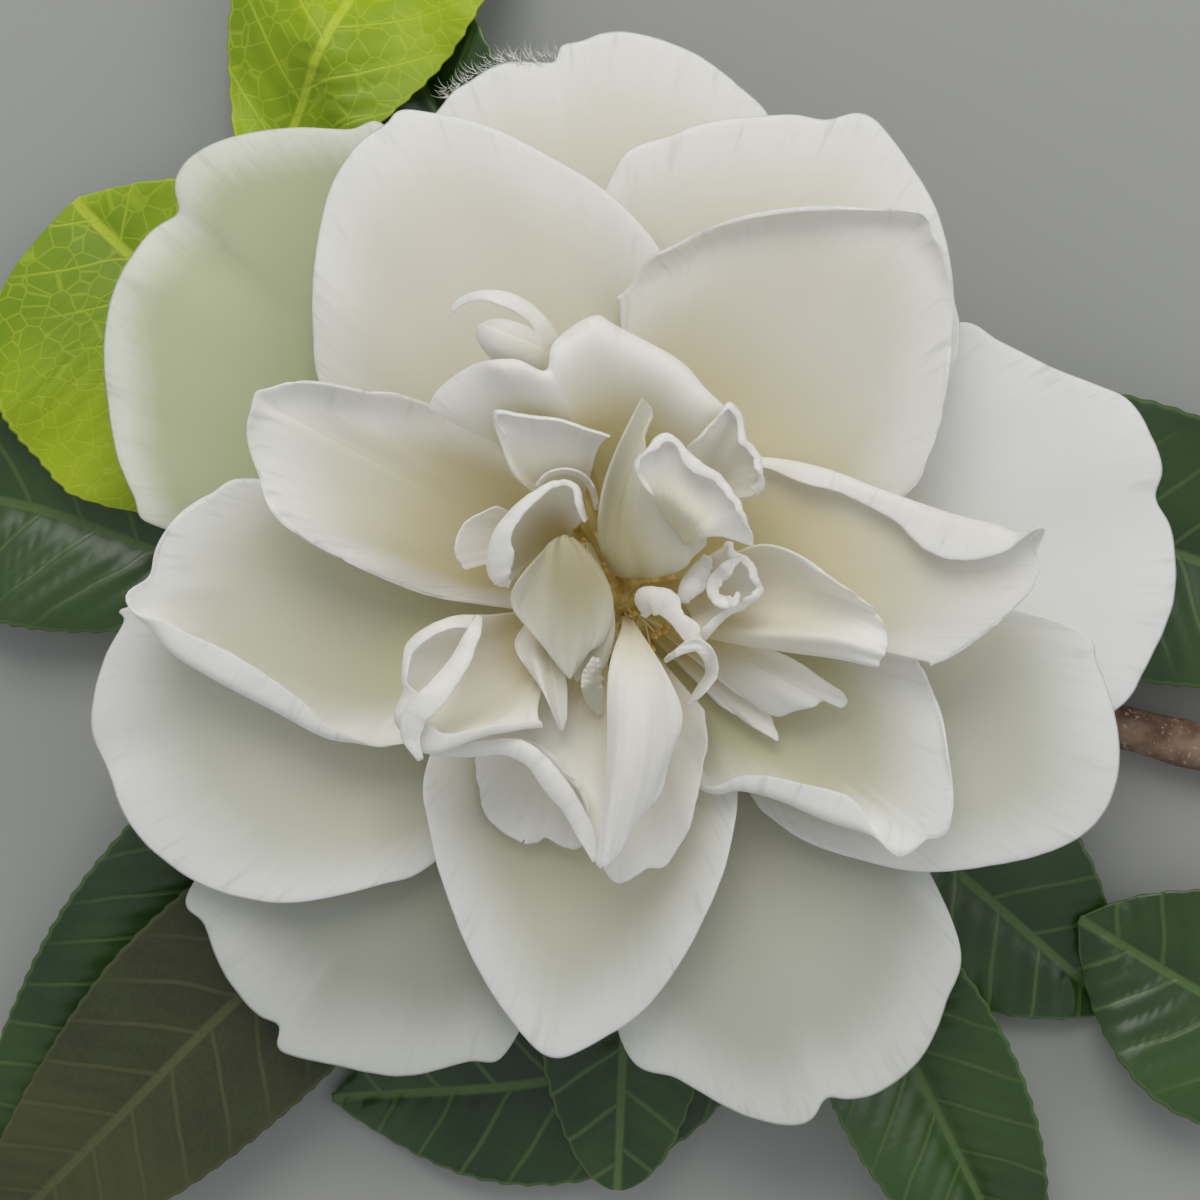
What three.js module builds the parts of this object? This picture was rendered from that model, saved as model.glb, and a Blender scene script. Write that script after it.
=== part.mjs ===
import * as THREE from 'three';

// A white double camellia bloom on a short cut sprig. The sprig lies on its leaves, the bloom faces up.
// Millimetres, +Z up. The bloom's axis is x = 0, y = 0 until the whole sprig is centred at the end.

// Where the outlines are read from: an eye above the bloom. Plan positions are given as that eye sees
// them at VIEW_LEVEL, and fromView moves each point along its line of sight to its own height.
const VIEW_HEIGHT = 264;
const VIEW_LEVEL = 24;
const VIEW_AXIS = [-1.5, -1.0];

// Driving dimensions.
const CLEARANCE = 0.45;
const PETAL_THICKNESS = { base: 0.9, rim: 0.6 };
const PETAL_FOOT = { radius: 4.6, halfWidth: 1.9 };
const PETAL_FLOOR = 12.2;
const ROLL = { width: 3.2, least: 6, full: 45 };
const PETALOID_THICKNESS = { base: 1.0, rim: 0.7 };
const PETALOID_FOOT = { radius: 3.7, halfWidth: 1.0 };
const HEART = { radius: 2.6, bottom: 20.3, shoulder: 26.5, top: 28.5 };
const CALYX = {
  bottom: 8.3,
  seatRadius: 2.2,
  lowFlare: [5.5, 9.6],
  highFlare: [7.4, 11.8],
  bowlRadius: 8,
  bowlTop: 14.3,
  lipRadius: 6.8,
  columnRadius: 3.2,
  columnFoot: 13.6,
  columnTop: 20,
};
const STEM = { cutRadius: 2.7, tipRadius: 1.9, cutReach: 104, direction: -15 };
const SHOOT_RADIUS = { foot: 1.5, tip: 1.0 };
const LEAF_THICKNESS = 0.7;
const PETIOLE = { halfWidth: 0.95, thickness: 1.7 };

const PETAL_STEPS = { around: 16, along: 4, roll: 3 };
const PETALOID_STEPS = { around: 10, along: 3, roll: 3 };
const LEAF_STEPS = { along: 12, across: 2, petiole: 2 };
const LIMB_SIDES = 8;

// Finishes.
const finish = (color, roughness) => new THREE.MeshStandardMaterial({ color, roughness, metalness: 0 });
const PETAL_WHITE = 0xf1eee6;
const HEART_GOLD = 0xd9b65c;
const LEAF_GREEN = 0x3f6a2c;
const LEAF_LIME = 0x97b931;
const CALYX_GREEN = 0x8c9a55;
const TWIG_BROWN = 0x8a6a52;

function fromView(point) {
  const scale = (VIEW_HEIGHT - point.z) / (VIEW_HEIGHT - VIEW_LEVEL);
  const x = VIEW_AXIS[0] + (point.x - VIEW_AXIS[0]) * scale;
  const y = VIEW_AXIS[1] + (point.y - VIEW_AXIS[1]) * scale;
  return new THREE.Vector3(x, y, point.z);
}

function seen(x, y, z) {
  return fromView(new THREE.Vector3(x, y, z));
}

// A number read off a smooth curve through evenly spaced values.
function along(values, t) {
  const points = values.map((value, k) => new THREE.Vector3(k, value, 0));
  const place = THREE.MathUtils.clamp(t, 0, 1) * (values.length - 1);
  const k = Math.min(Math.floor(place), values.length - 2);
  const before = points[Math.max(k - 1, 0)].y;
  const after = points[Math.min(k + 2, values.length - 1)].y;
  return catmull(before, points[k].y, points[k + 1].y, after, place - k);
}

function catmull(a, b, c, d, t) {
  const slopeB = (c - a) / 2;
  const slopeC = (d - b) / 2;
  const t2 = t * t;
  const t3 = t2 * t;
  const places = (2 * t3 - 3 * t2 + 1) * b + (3 * t2 - 2 * t3) * c;
  return places + (t3 - 2 * t2 + t) * slopeB + (t3 - t2) * slopeC;
}

// A closed sheet round a grid of middle points: thickness is split to both sides of each point.
function sheetSolid(grid, thicknessAt) {
  const rows = grid.length;
  const columns = grid[0].length;
  const vertices = [];
  for (const side of [1, -1]) {
    for (let i = 0; i < rows; i += 1) {
      for (let j = 0; j < columns; j += 1) {
        const acrossStep = grid[Math.min(i + 1, rows - 1)][j].clone().sub(grid[Math.max(i - 1, 0)][j]);
        const alongStep = grid[i][Math.min(j + 1, columns - 1)].clone().sub(grid[i][Math.max(j - 1, 0)]);
        const normal = alongStep.cross(acrossStep).normalize();
        vertices.push(grid[i][j].clone().addScaledVector(normal, (side * thicknessAt(i, j)) / 2));
      }
    }
  }
  const id = (side, i, j) => side * rows * columns + i * columns + j;
  const faces = [];
  const quad = (a, b, c, d) => faces.push([a, b, c], [a, c, d]);
  for (let i = 0; i + 1 < rows; i += 1) {
    for (let j = 0; j + 1 < columns; j += 1) {
      quad(id(0, i, j), id(0, i, j + 1), id(0, i + 1, j + 1), id(0, i + 1, j));
      quad(id(1, i, j), id(1, i + 1, j), id(1, i + 1, j + 1), id(1, i, j + 1));
    }
  }
  for (let i = 0; i + 1 < rows; i += 1) {
    const last = columns - 1;
    quad(id(0, i, 0), id(0, i + 1, 0), id(1, i + 1, 0), id(1, i, 0));
    quad(id(0, i, last), id(1, i, last), id(1, i + 1, last), id(0, i + 1, last));
  }
  for (let j = 0; j + 1 < columns; j += 1) {
    const last = rows - 1;
    quad(id(0, 0, j), id(1, 0, j), id(1, 0, j + 1), id(0, 0, j + 1));
    quad(id(0, last, j), id(0, last, j + 1), id(1, last, j + 1), id(1, last, j));
  }
  return { vertices, faces };
}

// The highest point of all that lies under each place, on a fine square raster.
class HeightMap {
  constructor(floor) {
    this.cell = 0.5;
    this.half = 120;
    this.size = Math.round((2 * this.half) / this.cell);
    this.heights = new Float64Array(this.size * this.size).fill(floor);
  }

  visit([a, b, c], action) {
    const area = (b.x - a.x) * (c.y - a.y) - (b.y - a.y) * (c.x - a.x);
    if (Math.abs(area) < 1e-6) return;
    const column = (x) => (x + this.half) / this.cell;
    const left = Math.floor(column(Math.min(a.x, b.x, c.x)));
    const right = Math.ceil(column(Math.max(a.x, b.x, c.x)));
    const low = Math.floor(column(Math.min(a.y, b.y, c.y)));
    const high = Math.ceil(column(Math.max(a.y, b.y, c.y)));
    for (let i = left; i <= right; i += 1) {
      for (let j = low; j <= high; j += 1) {
        const x = i * this.cell - this.half;
        const y = j * this.cell - this.half;
        const weightB = ((x - a.x) * (c.y - a.y) - (y - a.y) * (c.x - a.x)) / area;
        const weightC = ((b.x - a.x) * (y - a.y) - (b.y - a.y) * (x - a.x)) / area;
        const weightA = 1 - weightB - weightC;
        if (Math.min(weightA, weightB, weightC) < -1e-9) continue;
        action(i, j, weightA * a.z + weightB * b.z + weightC * c.z);
      }
    }
  }

  // The solid is added with one cell's margin on every side.
  add(solid) {
    for (const face of solid.faces) {
      this.visit(face.map((k) => solid.vertices[k]), (column, row, z) => {
        for (let i = column - 1; i <= column + 1; i += 1) {
          for (let j = row - 1; j <= row + 1; j += 1) {
            const k = i * this.size + j;
            if (z > this.heights[k]) this.heights[k] = z;
          }
        }
      });
    }
  }

  // How far each vertex of a solid has to rise for the solid to lie clear of what is under it.
  shortfall(solid) {
    const needed = new Float64Array(solid.vertices.length);
    for (const face of solid.faces) {
      let worst = 0;
      this.visit(face.map((k) => solid.vertices[k]), (i, j, z) => {
        worst = Math.max(worst, this.heights[i * this.size + j] + CLEARANCE - z);
      });
      for (const k of face) needed[k] = Math.max(needed[k], worst);
    }
    return needed;
  }
}

// A sheet is raised where it would cut what lies under it, and the rise fades smoothly to its sides.
function layOver(map, grid, thicknessAt, stiffFrom = Infinity) {
  const rows = grid.length;
  const columns = grid[0].length;
  let solid = sheetSolid(grid, thicknessAt);
  for (let pass = 0; pass < 8; pass += 1) {
    const needed = map.shortfall(solid);
    const lift = grid.map((row, i) => row.map((_, j) => {
      const k = i * columns + j;
      return Math.max(needed[k], needed[k + rows * columns]);
    }));
    if (Math.max(...lift.flat()) < 0.02) break;
    smoothLift(lift, stiffFrom);
    grid.forEach((row, i) => row.forEach((point, j) => {
      point.z += lift[i][j];
    }));
    solid = sheetSolid(grid, thicknessAt);
  }
  map.add(solid);
  return solid;
}

function smoothLift(lift, stiffFrom) {
  const rows = lift.length;
  const columns = lift[0].length;
  for (let pass = 0; pass < 6; pass += 1) {
    const before = lift.map((row) => row.slice());
    for (let i = 0; i < rows; i += 1) {
      for (let j = 0; j < columns; j += 1) {
        const near = [before[Math.max(i - 1, 0)][j], before[Math.min(i + 1, rows - 1)][j]];
        near.push(before[i][Math.max(j - 1, 0)], before[i][Math.min(j + 1, columns - 1)]);
        const mean = near.reduce((sum, value) => sum + value, 0) / near.length;
        lift[i][j] = Math.max(before[i][j], mean * 0.97);
      }
    }
  }
  for (const row of lift) {
    const most = Math.max(...row.slice(stiffFrom));
    for (let j = stiffFrom; j < columns; j += 1) row[j] = most;
  }
}

// A petal is a fan from its narrow foot to its rim. rim lists the seen edge, from its right side round
// the tip to its left side, each point further round than the one before it. rise gives the heights from
// foot to tip, cup lifts the two sides, and roll gives the curl of the margin in degrees along the rim.
function petalGrid(petal, foot, steps) {
  const bearing = THREE.MathUtils.degToRad(petal.bearing ?? bearingOf(petal.rim));
  const outward = new THREE.Vector2(Math.cos(bearing), Math.sin(bearing));
  const leftward = new THREE.Vector2(-outward.y, outward.x);
  const footCentre = outward.clone().multiplyScalar(foot.radius);
  const footHalf = petal.footHalf ?? foot.halfWidth;
  const footAt = (s) => footCentre.clone().addScaledVector(leftward, (2 * s - 1) * footHalf);
  const knots = petal.rim.map(([x, y]) => new THREE.Vector2(x, y));
  const edge = new THREE.SplineCurve(knots).getSpacedPoints(steps.around);
  const reach = Math.max(...edge.map((point) => point.clone().sub(footCentre).dot(outward)));
  const sides = edge.map((point) => Math.abs(point.clone().sub(footCentre).dot(leftward)));
  const halfWidth = Math.max(...sides, 1);
  const height = (point) => {
    const rel = point.clone().sub(footCentre);
    const forward = THREE.MathUtils.clamp(rel.dot(outward) / reach, 0, 1);
    const aside = rel.dot(leftward) / halfWidth;
    return along(petal.rise, forward) + (petal.cup ?? 0) * aside * aside;
  };
  return edge.map((point, i) => {
    const s = i / steps.around;
    const start = footAt(s);
    const next = edge[Math.min(i + 1, steps.around)];
    const previous = edge[Math.max(i - 1, 0)];
    const inward = new THREE.Vector2(previous.y - next.y, next.x - previous.x).normalize();
    const length = point.distanceTo(start);
    const degrees = petal.roll ? Math.max(along(petal.roll, s), ROLL.least) : 0;
    const curl = THREE.MathUtils.degToRad(degrees);
    const strip = Math.min((petal.rollWidth ?? ROLL.width) * Math.min(degrees / ROLL.full, 1), 0.3 * length);
    const radius = curl > 0 ? strip / curl : 0;
    const inset = radius * Math.sin(Math.min(curl, Math.PI / 2));
    const bend = point.clone().addScaledVector(inward, inset);
    const line = [];
    for (let j = 0; j <= steps.along; j += 1) {
      const place = start.clone().lerp(bend, j / steps.along);
      line.push(new THREE.Vector3(place.x, place.y, height(place)));
    }
    const level = height(bend);
    const slope = (height(point) - level) / Math.max(inset, 0.1);
    for (let j = 1; j <= steps.roll; j += 1) {
      const angle = (curl * j) / steps.roll;
      const outwards = radius * Math.sin(angle);
      const place = bend.clone().addScaledVector(inward, -outwards);
      const climb = radius * (1 - Math.cos(angle)) + slope * outwards;
      line.push(new THREE.Vector3(place.x, place.y, level + climb));
    }
    return line;
  });
}

// A petal that is a narrow band follows a line of its own. Each knot is x, y, height and half width.
function bandGrid(band, steps) {
  const middle = new THREE.CatmullRomCurve3(band.map(([x, y, z]) => new THREE.Vector3(x, y, z)));
  const halfWidths = band.map((knot) => knot[3]);
  const grid = [];
  for (let i = 0; i <= steps.around; i += 1) {
    const centre = middle.getPoint(i / steps.around);
    const direction = middle.getTangent(i / steps.around);
    const left = new THREE.Vector3(-direction.y, direction.x, 0).normalize();
    const half = along(halfWidths, i / steps.around);
    const line = [];
    for (let j = 0; j <= steps.along; j += 1) {
      line.push(centre.clone().addScaledVector(left, half * ((2 * j) / steps.along - 1)));
    }
    grid.push(line);
  }
  return grid;
}

function bearingOf(rim) {
  const x = rim.reduce((sum, point) => sum + point[0], 0);
  const y = rim.reduce((sum, point) => sum + point[1], 0);
  return THREE.MathUtils.radToDeg(Math.atan2(y, x));
}

function thinning(thickness, columns) {
  return (i, j) => THREE.MathUtils.lerp(thickness.base, thickness.rim, j / (columns - 1));
}

// The large petals, from the backmost to the foremost. Each lies over those before it.
const PETALS = {
  petal_top_back: {
    rim: [[9, 20], [15, 33], [17, 42], [13, 50], [3.5, 55.5], [-3.5, 55], [-5.8, 53.2], [-11.5, 52.8],
      [-17, 49], [-20, 42], [-16, 25]],
    rise: [16, 18, 18.5, 17],
  },
  petal_right_back: {
    rim: [[25, -14], [42, -16], [50.5, -11.8], [55.3, -3], [55.7, 6.5], [54.4, 9.5], [53.5, 16],
      [48.5, 20.5], [38.5, 25], [24, 22]],
    rise: [16, 17.5, 18, 16],
    cup: 1,
  },
  petal_lower_right_back: {
    rim: [[-4, -20], [0.5, -45], [6.5, -49], [12.5, -52.5], [19, -53.6], [21.1, -50.9], [27, -50],
      [33.3, -41], [34.2, -32], [24, -14]],
    rise: [16, 17, 17, 15],
  },
  petal_lower_left_back: {
    rim: [[-27, -12], [-42.3, -29.3], [-39, -38.5], [-34.3, -44.4], [-28.5, -47.5], [-21.5, -48.7],
      [-10, -45], [0, -24]],
    rise: [16, 17, 17, 14.5],
  },
  petal_upper_left_back: {
    rim: [[-14, 30], [-22.5, 46], [-32.5, 46.4], [-42.5, 43.5], [-44, 38.2], [-50, 30.5], [-51.2, 25],
      [-50, 13.5], [-45.5, 6], [-22, 0]],
    rise: [16, 18, 19.5, 19],
    cup: 1,
  },
  petal_lower_right: {
    rim: [[14.5, -22], [23.5, -26.8], [38.5, -27.5], [48.5, -23], [50.3, -13], [45.5, -3.5], [24, 2]],
    rise: [17, 19, 20.5, 19],
    bearing: -28,
    cup: 1,
  },
  petal_left_lower: {
    rim: [[-20, 2], [-47.8, -1.5], [-51, -6.5], [-52.3, -13], [-50.8, -18], [-46.5, -26], [-37.5, -30.8],
      [-23.5, -29.5], [-8, -18]],
    rise: [17, 19, 20.5, 19],
    cup: 1,
  },
  petal_upper_right: {
    rim: [[24, 10], [34, 24], [33.5, 33.5], [30, 42], [24.5, 47.8], [17.5, 47.7], [10.5, 47], [0.5, 43],
      [-3, 32], [-2, 16]],
    rise: [18, 21, 24, 24.5],
    cup: 1.5,
  },
  petal_upper_left: {
    rim: [[5, 16], [7, 28], [2.5, 36.8], [-8.5, 44.5], [-18.5, 48], [-22.2, 47.8], [-28, 41.5],
      [-30.2, 30], [-26, 14], [-12, 4]],
    rise: [18, 23, 26, 27],
    cup: -1,
  },
  petal_bottom: {
    rim: [[-14, -6], [-19, -18], [-16.5, -31.5], [-9.5, -44.5], [-6.2, -47], [2.5, -42.5], [10, -30.5],
      [12, -18], [8, -6]],
    rise: [18, 21, 22.5, 21],
    cup: 4,
  },
  petal_left: {
    rim: [[-16, 9], [-36, 11], [-43.5, 7.5], [-47.5, 0], [-47, -3.6], [-39.5, -9.2], [-29.5, -14.5],
      [-21.5, -15.2], [-10, -10]],
    rise: [19, 22, 25, 28],
    cup: 1,
    roll: [0, 0, 20, 120, 170, 150, 90, 0],
  },
  petal_right_upper: {
    rim: [[22, 4], [29.7, 10.3], [33.5, 24], [32.9, 32.5], [30.6, 37.6], [18.5, 38.2], [7.5, 35.2],
      [0, 29.3]],
    rise: [19, 24, 28, 31],
    cup: 1,
    roll: [0, 0, 0, 20, 90, 120, 90, 0],
  },
  petal_lower_right_front: {
    rim: [[2, -12], [8.5, -19.8], [16.5, -21], [26.5, -24.8], [32, -25], [33.6, -20], [32, -11],
      [28, -5], [16, -1]],
    rise: [19, 22, 25, 27],
    cup: 1,
    roll: [0, 30, 130, 150, 60, 0, 0, 0],
  },
  petal_left_front: {
    rim: [[-8, 14], [-18.5, 18.5], [-29.5, 20.7], [-35.2, 19.5], [-36, 12.5], [-31.5, 5.5],
      [-19.5, -0.2], [-8, -2]],
    rise: [20, 26, 32, 35],
    cup: 1,
    roll: [0, 20, 60, 40, 0, 0, 0, 0],
  },
  petal_right_front: {
    rim: [[31.5, -7.6], [38.5, -3], [42.6, 4.4], [38.5, 6.4], [26.5, 10], [14.5, 13.2], [7, 13]],
    rise: [20, 26, 31, 33],
    bearing: 6,
    roll: [0, 0, 0, 20, 150, 180, 150, 60],
    rollWidth: 5,
  },
};

// The small petals that crowd the middle, again from the backmost to the foremost.
const PETALOIDS = {
  petaloid_right_scrap: {
    rim: [[12, -14.8], [16.3, -15.3], [16, -12.8], [13.6, -10]],
    rise: [21, 23, 24, 25],
  },
  petaloid_right_lower: {
    rim: [[14.5, -12.3], [17.6, -12.3], [23.4, -11.7], [22.6, -9.8], [18.5, -6.9], [15, -5.9]],
    rise: [22, 25, 27, 28],
    cup: -1,
  },
  petaloid_right: {
    rim: [[26.3, -7.8], [27.4, -6.5], [27.2, -3.5], [23.6, -0.2], [17.3, 3], [13, 4.8]],
    footHalf: 2.4,
    bearing: -6,
    rise: [22, 26, 30, 32],
    cup: 2,
    roll: [0, 0, 40, 90, 90, 0],
    rollWidth: 2,
  },
  petaloid_pale: {
    rim: [[-14.1, -16.9], [-12.2, -23.5], [-7.9, -25.5], [-3.3, -25.8]],
    rise: [21, 23, 24, 25],
    bearing: -112,
  },
  petaloid_lower_back: {
    rim: [[-1.2, -28.4], [0.4, -29.4], [3, -27.9], [6.3, -26.2], [8.3, -20.9], [9.2, -15.6], [9, -12]],
    rise: [22, 25, 28, 29],
    cup: 2,
  },
  petaloid_wavy: {
    rim: [[-18.2, -15.3], [-12.6, -15.7], [-7.9, -16.4], [-4.3, -19.5], [-2, -26.5]],
    rise: [22, 25, 28, 29],
    bearing: -118,
  },
  petaloid_back_tail: {
    band: [[-1.6, 3.6, 25, 1], [-3.5, 14, 29, 1.3], [-6, 23, 34, 1.8], [-10.5, 28.6, 36, 1.5],
      [-16.2, 28.9, 36, 0.5]],
  },
  petaloid_back_curl: {
    band: [[-1.4, 3.6, 26, 1], [-5, 14, 31, 1.6], [-8.5, 20.5, 34, 2.4], [-11, 25, 36, 2.5],
      [-11.7, 27.3, 35.5, 1.2]],
  },
  petaloid_back_hood: {
    rim: [[10.7, 18], [3.5, 24.5], [-1, 27], [-5.5, 24.2], [-7.2, 22], [-13, 22.8], [-18.3, 18.8]],
    rise: [24, 28, 32, 37],
    cup: 2,
  },
  petaloid_left_scrap: {
    rim: [[-12.6, 8.1], [-15.5, 5.3], [-16, 3.8], [-14.9, 2.2]],
    rise: [23, 26, 29, 31],
  },
  petaloid_cross_flap: {
    rim: [[0.5, 15.6], [-4, 17.2], [-8.5, 18.3], [-12.2, 18.4], [-11.8, 15.3]],
    rise: [25, 30, 34, 36],
    bearing: 118,
  },
  petaloid_loop: {
    rim: [[-11, 0], [-16.9, -2.8], [-21.5, -6.8], [-22.5, -12.4], [-19.5, -17.2], [-9.6, -13.8], [-4, -9]],
    rise: [23, 28, 33, 35],
    roll: [60, 150, 150, 90, 60, 0],
    rollWidth: 4,
  },
  petaloid_right_upper: {
    rim: [[14, 9.4], [15.3, 10.8], [14.3, 14.4], [12.6, 17.1], [11.6, 18.7], [9.5, 16.8], [7, 14.6]],
    rise: [24, 29, 34, 36],
    cup: 2,
  },
  petaloid_rosette: {
    rim: [[8.7, -5.1], [12.3, -2.8], [14.6, -0.5], [13, 3.8], [9, 5.5]],
    rise: [24, 27, 31, 34],
    bearing: -3,
    roll: [60, 150, 150, 150, 60],
    rollWidth: 3,
  },
  petaloid_hood: {
    rim: [[-2.1, 6.5], [-2.6, 9.1], [-6.9, 11.1], [-9.6, 9.8], [-12.2, 6.8], [-13.1, 3.8], [-10.6, 0.2]],
    rise: [25, 30, 35, 37],
    cup: 2,
    roll: [40, 110, 140, 140, 110, 40],
    rollWidth: 2.2,
  },
  petaloid_tongue: {
    rim: [[6.5, 1.9], [8.3, 2.7], [9.3, 4.2], [7.7, 6.5], [4.5, 11.5], [3, 19.1], [1, 15.8], [-1.8, 7.8],
      [-1.7, 5.6]],
    rise: [26, 32, 37, 40],
    bearing: 62,
    cup: 1,
  },
  petaloid_curled_rim: {
    rim: [[14.3, 4], [12.8, 8.5], [7.3, 13.1], [4.9, 15.6], [3, 14.8]],
    rise: [27, 33, 38, 40],
    bearing: 45,
    roll: [60, 100, 100, 100, 60],
    rollWidth: 1.6,
  },
  petaloid_inner_leaf: {
    rim: [[-4.9, 5.5], [-10.6, 0.2], [-10.2, -2.8], [-6.9, -11.1], [-5.3, -14.3], [-1.6, -11.9],
      [-0.3, -3.5], [-1.2, 2]],
    rise: [28, 33, 37, 37],
    bearing: -118,
    cup: -1,
  },
  petaloid_long_front: {
    rim: [[-1.7, -27.4], [0.2, -26.6], [2.4, -24.2], [5.3, -17.6], [7.4, -13.8], [6.8, -11]],
    rise: [27, 33, 37, 36],
    cup: -2,
  },
};

// The leaves, lowest first. foot is where the leaf stalk leaves its shoot, spine runs from the blade's
// base to its tip, heights go from foot to tip, and fold gives how steeply the left and right halves
// stand up from the midrib. A lower bluntness gives a rounder tip.
const LEAVES = {
  leaf_low_right: {
    foot: [14.5, -12],
    spine: [[21, -17], [34, -28], [50, -42]],
    heights: [3.4, 3.4, 3.6, 0.6],
    width: 25,
    fold: [8, 8],
  },
  leaf_bottom_pale: {
    foot: [20.5, -33.5],
    spine: [[15, -41], [-4, -48.5], [-28.3, -50.8]],
    heights: [3.2, 3, 3, 0.5],
    width: 23,
    fold: [6, 6],
  },
  leaf_far_right: {
    foot: [80, -44.5],
    spine: [[75.5, -46.5], [63, -42.5], [45.8, -32.5]],
    heights: [3, 3.6, 4.6, 1.2],
    width: 26,
    fold: [14, 14],
  },
  leaf_top_small: {
    foot: [-13.5, 27.5],
    spine: [[-15, 33], [-20, 43], [-28, 54.5]],
    heights: [3.2, 3.4, 4, 2],
    width: 21,
    fold: [8, 8],
  },
  leaf_left: {
    foot: [-31, 0.5],
    spine: [[-37, 0.5], [-46.2, 4], [-62, 9], [-82, 8]],
    heights: [3.2, 3.8, 4.6, 3.4, 0.6],
    width: 26,
    fold: [12, 12],
  },
  leaf_corner_back: {
    foot: [-25, -2.4],
    spine: [[-28, -10], [-36, -24], [-49, -43.5], [-66, -62]],
    heights: [3, 3.2, 3.4, 3.4, 0.6],
    width: 26,
    fold: [14, 14],
  },
  leaf_bottom_dark: {
    foot: [11.4, -14.4],
    spine: [[5.5, -17.5], [1.5, -38], [0.2, -60]],
    heights: [3.6, 4, 6, 5],
    width: 20,
    fold: [16, 16],
    bluntness: 0.5,
  },
  leaf_bottom_right: {
    foot: [17, -21],
    spine: [[19.5, -26], [30.5, -48.7], [42, -72]],
    heights: [3.6, 4.2, 5, 0.6],
    width: 23,
    fold: [32, 32],
  },
  leaf_top_dark: {
    foot: [-8.4, 24.4],
    spine: [[-11, 31], [-18.1, 48.2], [-30, 72]],
    heights: [3.4, 4.4, 5.4, 2.5],
    width: 19,
    fold: [34, 34],
  },
  leaf_right: {
    foot: [9.2, 6.2],
    spine: [[17, 10.5], [36, 8.5], [57, 3.3], [82, -7]],
    heights: [3.6, 5, 6.6, 6, 0.6],
    width: 30,
    fold: [10, 10],
  },
  leaf_lime_left: {
    foot: [-29.5, -3.5],
    spine: [[-36.5, -1], [-42, 16], [-48.7, 33.5], [-54, 38.7]],
    heights: [3.4, 6, 8, 7.6, 6.6],
    width: 37,
    fold: [6, 6],
  },
  leaf_corner_front: {
    foot: [-19.8, -1.6],
    spine: [[-21.5, -10], [-29, -31], [-43, -46], [-66, -69]],
    heights: [3.4, 5, 8, 8, 4],
    width: 25,
    fold: [10, 10],
  },
  leaf_lime_top: {
    foot: [-33.5, 34.5],
    spine: [[-34.5, 39], [-30, 50], [-10, 86]],
    heights: [3.4, 4.3, 4.6, 0.6],
    width: 27,
    fold: [5, 20],
  },
};

const LIME_LEAVES = ['leaf_lime_left', 'leaf_lime_top'];

function leafGrid(leaf) {
  const heights = leaf.heights;
  const knots = [leaf.foot, ...leaf.spine].map(([x, y], k) => seen(x, y, heights[k]));
  const petiole = knots[0].distanceTo(knots[1]);
  const spine = new THREE.CatmullRomCurve3(knots, false, 'centripetal');
  const total = spine.getLength();
  const bladeStart = petiole / total;
  const shares = [];
  for (let k = 0; k < LEAF_STEPS.petiole; k += 1) shares.push((bladeStart * k) / LEAF_STEPS.petiole);
  for (let k = 0; k <= LEAF_STEPS.along; k += 1) {
    const share = 0.5 - 0.5 * Math.cos((Math.PI * k) / LEAF_STEPS.along);
    shares.push(bladeStart + (1 - bladeStart) * THREE.MathUtils.lerp(k / LEAF_STEPS.along, share, 0.5));
  }
  const folds = leaf.fold.map(THREE.MathUtils.degToRad);
  const rows = [];
  for (const share of shares) {
    const centre = spine.getPointAt(share);
    const direction = spine.getTangentAt(share);
    const left = new THREE.Vector3(-direction.y, direction.x, 0).normalize();
    const blade = THREE.MathUtils.clamp((share - bladeStart) / (1 - bladeStart), 0, 1);
    const bulge = Math.pow(Math.sin(Math.PI * Math.pow(blade, 0.92)), leaf.bluntness ?? 0.8);
    const bladeHalf = (leaf.width / 2) * (blade > 0.999 ? 0 : bulge);
    const half = Math.max(bladeHalf, PETIOLE.halfWidth * (1 - 0.45 * blade));
    const row = [];
    for (let k = -LEAF_STEPS.across; k <= LEAF_STEPS.across; k += 1) {
      const c = k / LEAF_STEPS.across;
      const fold = (c > 0 ? folds[0] : folds[1]) * Math.min(1, blade * 6);
      const out = half * c * Math.cos(fold);
      const up = Math.abs(half * c) * Math.sin(fold) - 0.06 * half * c * c;
      row.push(centre.clone().addScaledVector(left, out).add(new THREE.Vector3(0, 0, up)));
    }
    rows.push(row);
  }
  return rows;
}

function leafThickness(row) {
  const petioleEnd = LEAF_STEPS.petiole;
  return row < petioleEnd ? PETIOLE.thickness : LEAF_THICKNESS + (row === petioleEnd ? 0.5 : 0);
}

// A limb is a tapering tube of rings along a smooth path, flat at both ends.
function limb(path, footRadius, tipRadius, steps) {
  const curve = new THREE.CatmullRomCurve3(path, false, 'centripetal');
  const vertices = [];
  const faces = [];
  for (let k = 0; k <= steps; k += 1) {
    const share = k / steps;
    const centre = curve.getPointAt(share);
    const direction = curve.getTangentAt(share);
    const sideways = new THREE.Vector3(-direction.y, direction.x, 0).normalize();
    const upright = direction.clone().cross(sideways);
    const radius = THREE.MathUtils.lerp(footRadius, tipRadius, share);
    for (let n = 0; n < LIMB_SIDES; n += 1) {
      const angle = (2 * Math.PI * n) / LIMB_SIDES;
      const rim = centre.clone().addScaledVector(sideways, radius * Math.cos(angle));
      vertices.push(rim.addScaledVector(upright, radius * Math.sin(angle)));
    }
  }
  const first = vertices.length;
  vertices.push(curve.getPointAt(0), curve.getPointAt(1));
  for (let n = 0; n < LIMB_SIDES; n += 1) {
    const next = (n + 1) % LIMB_SIDES;
    for (let k = 0; k < steps; k += 1) {
      const a = k * LIMB_SIDES;
      const b = a + LIMB_SIDES;
      faces.push([a + n, a + next, b + next], [a + n, b + next, b + n]);
    }
    const last = steps * LIMB_SIDES;
    faces.push([first, next, n], [first + 1, last + n, last + next]);
  }
  return { vertices, faces };
}

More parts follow.
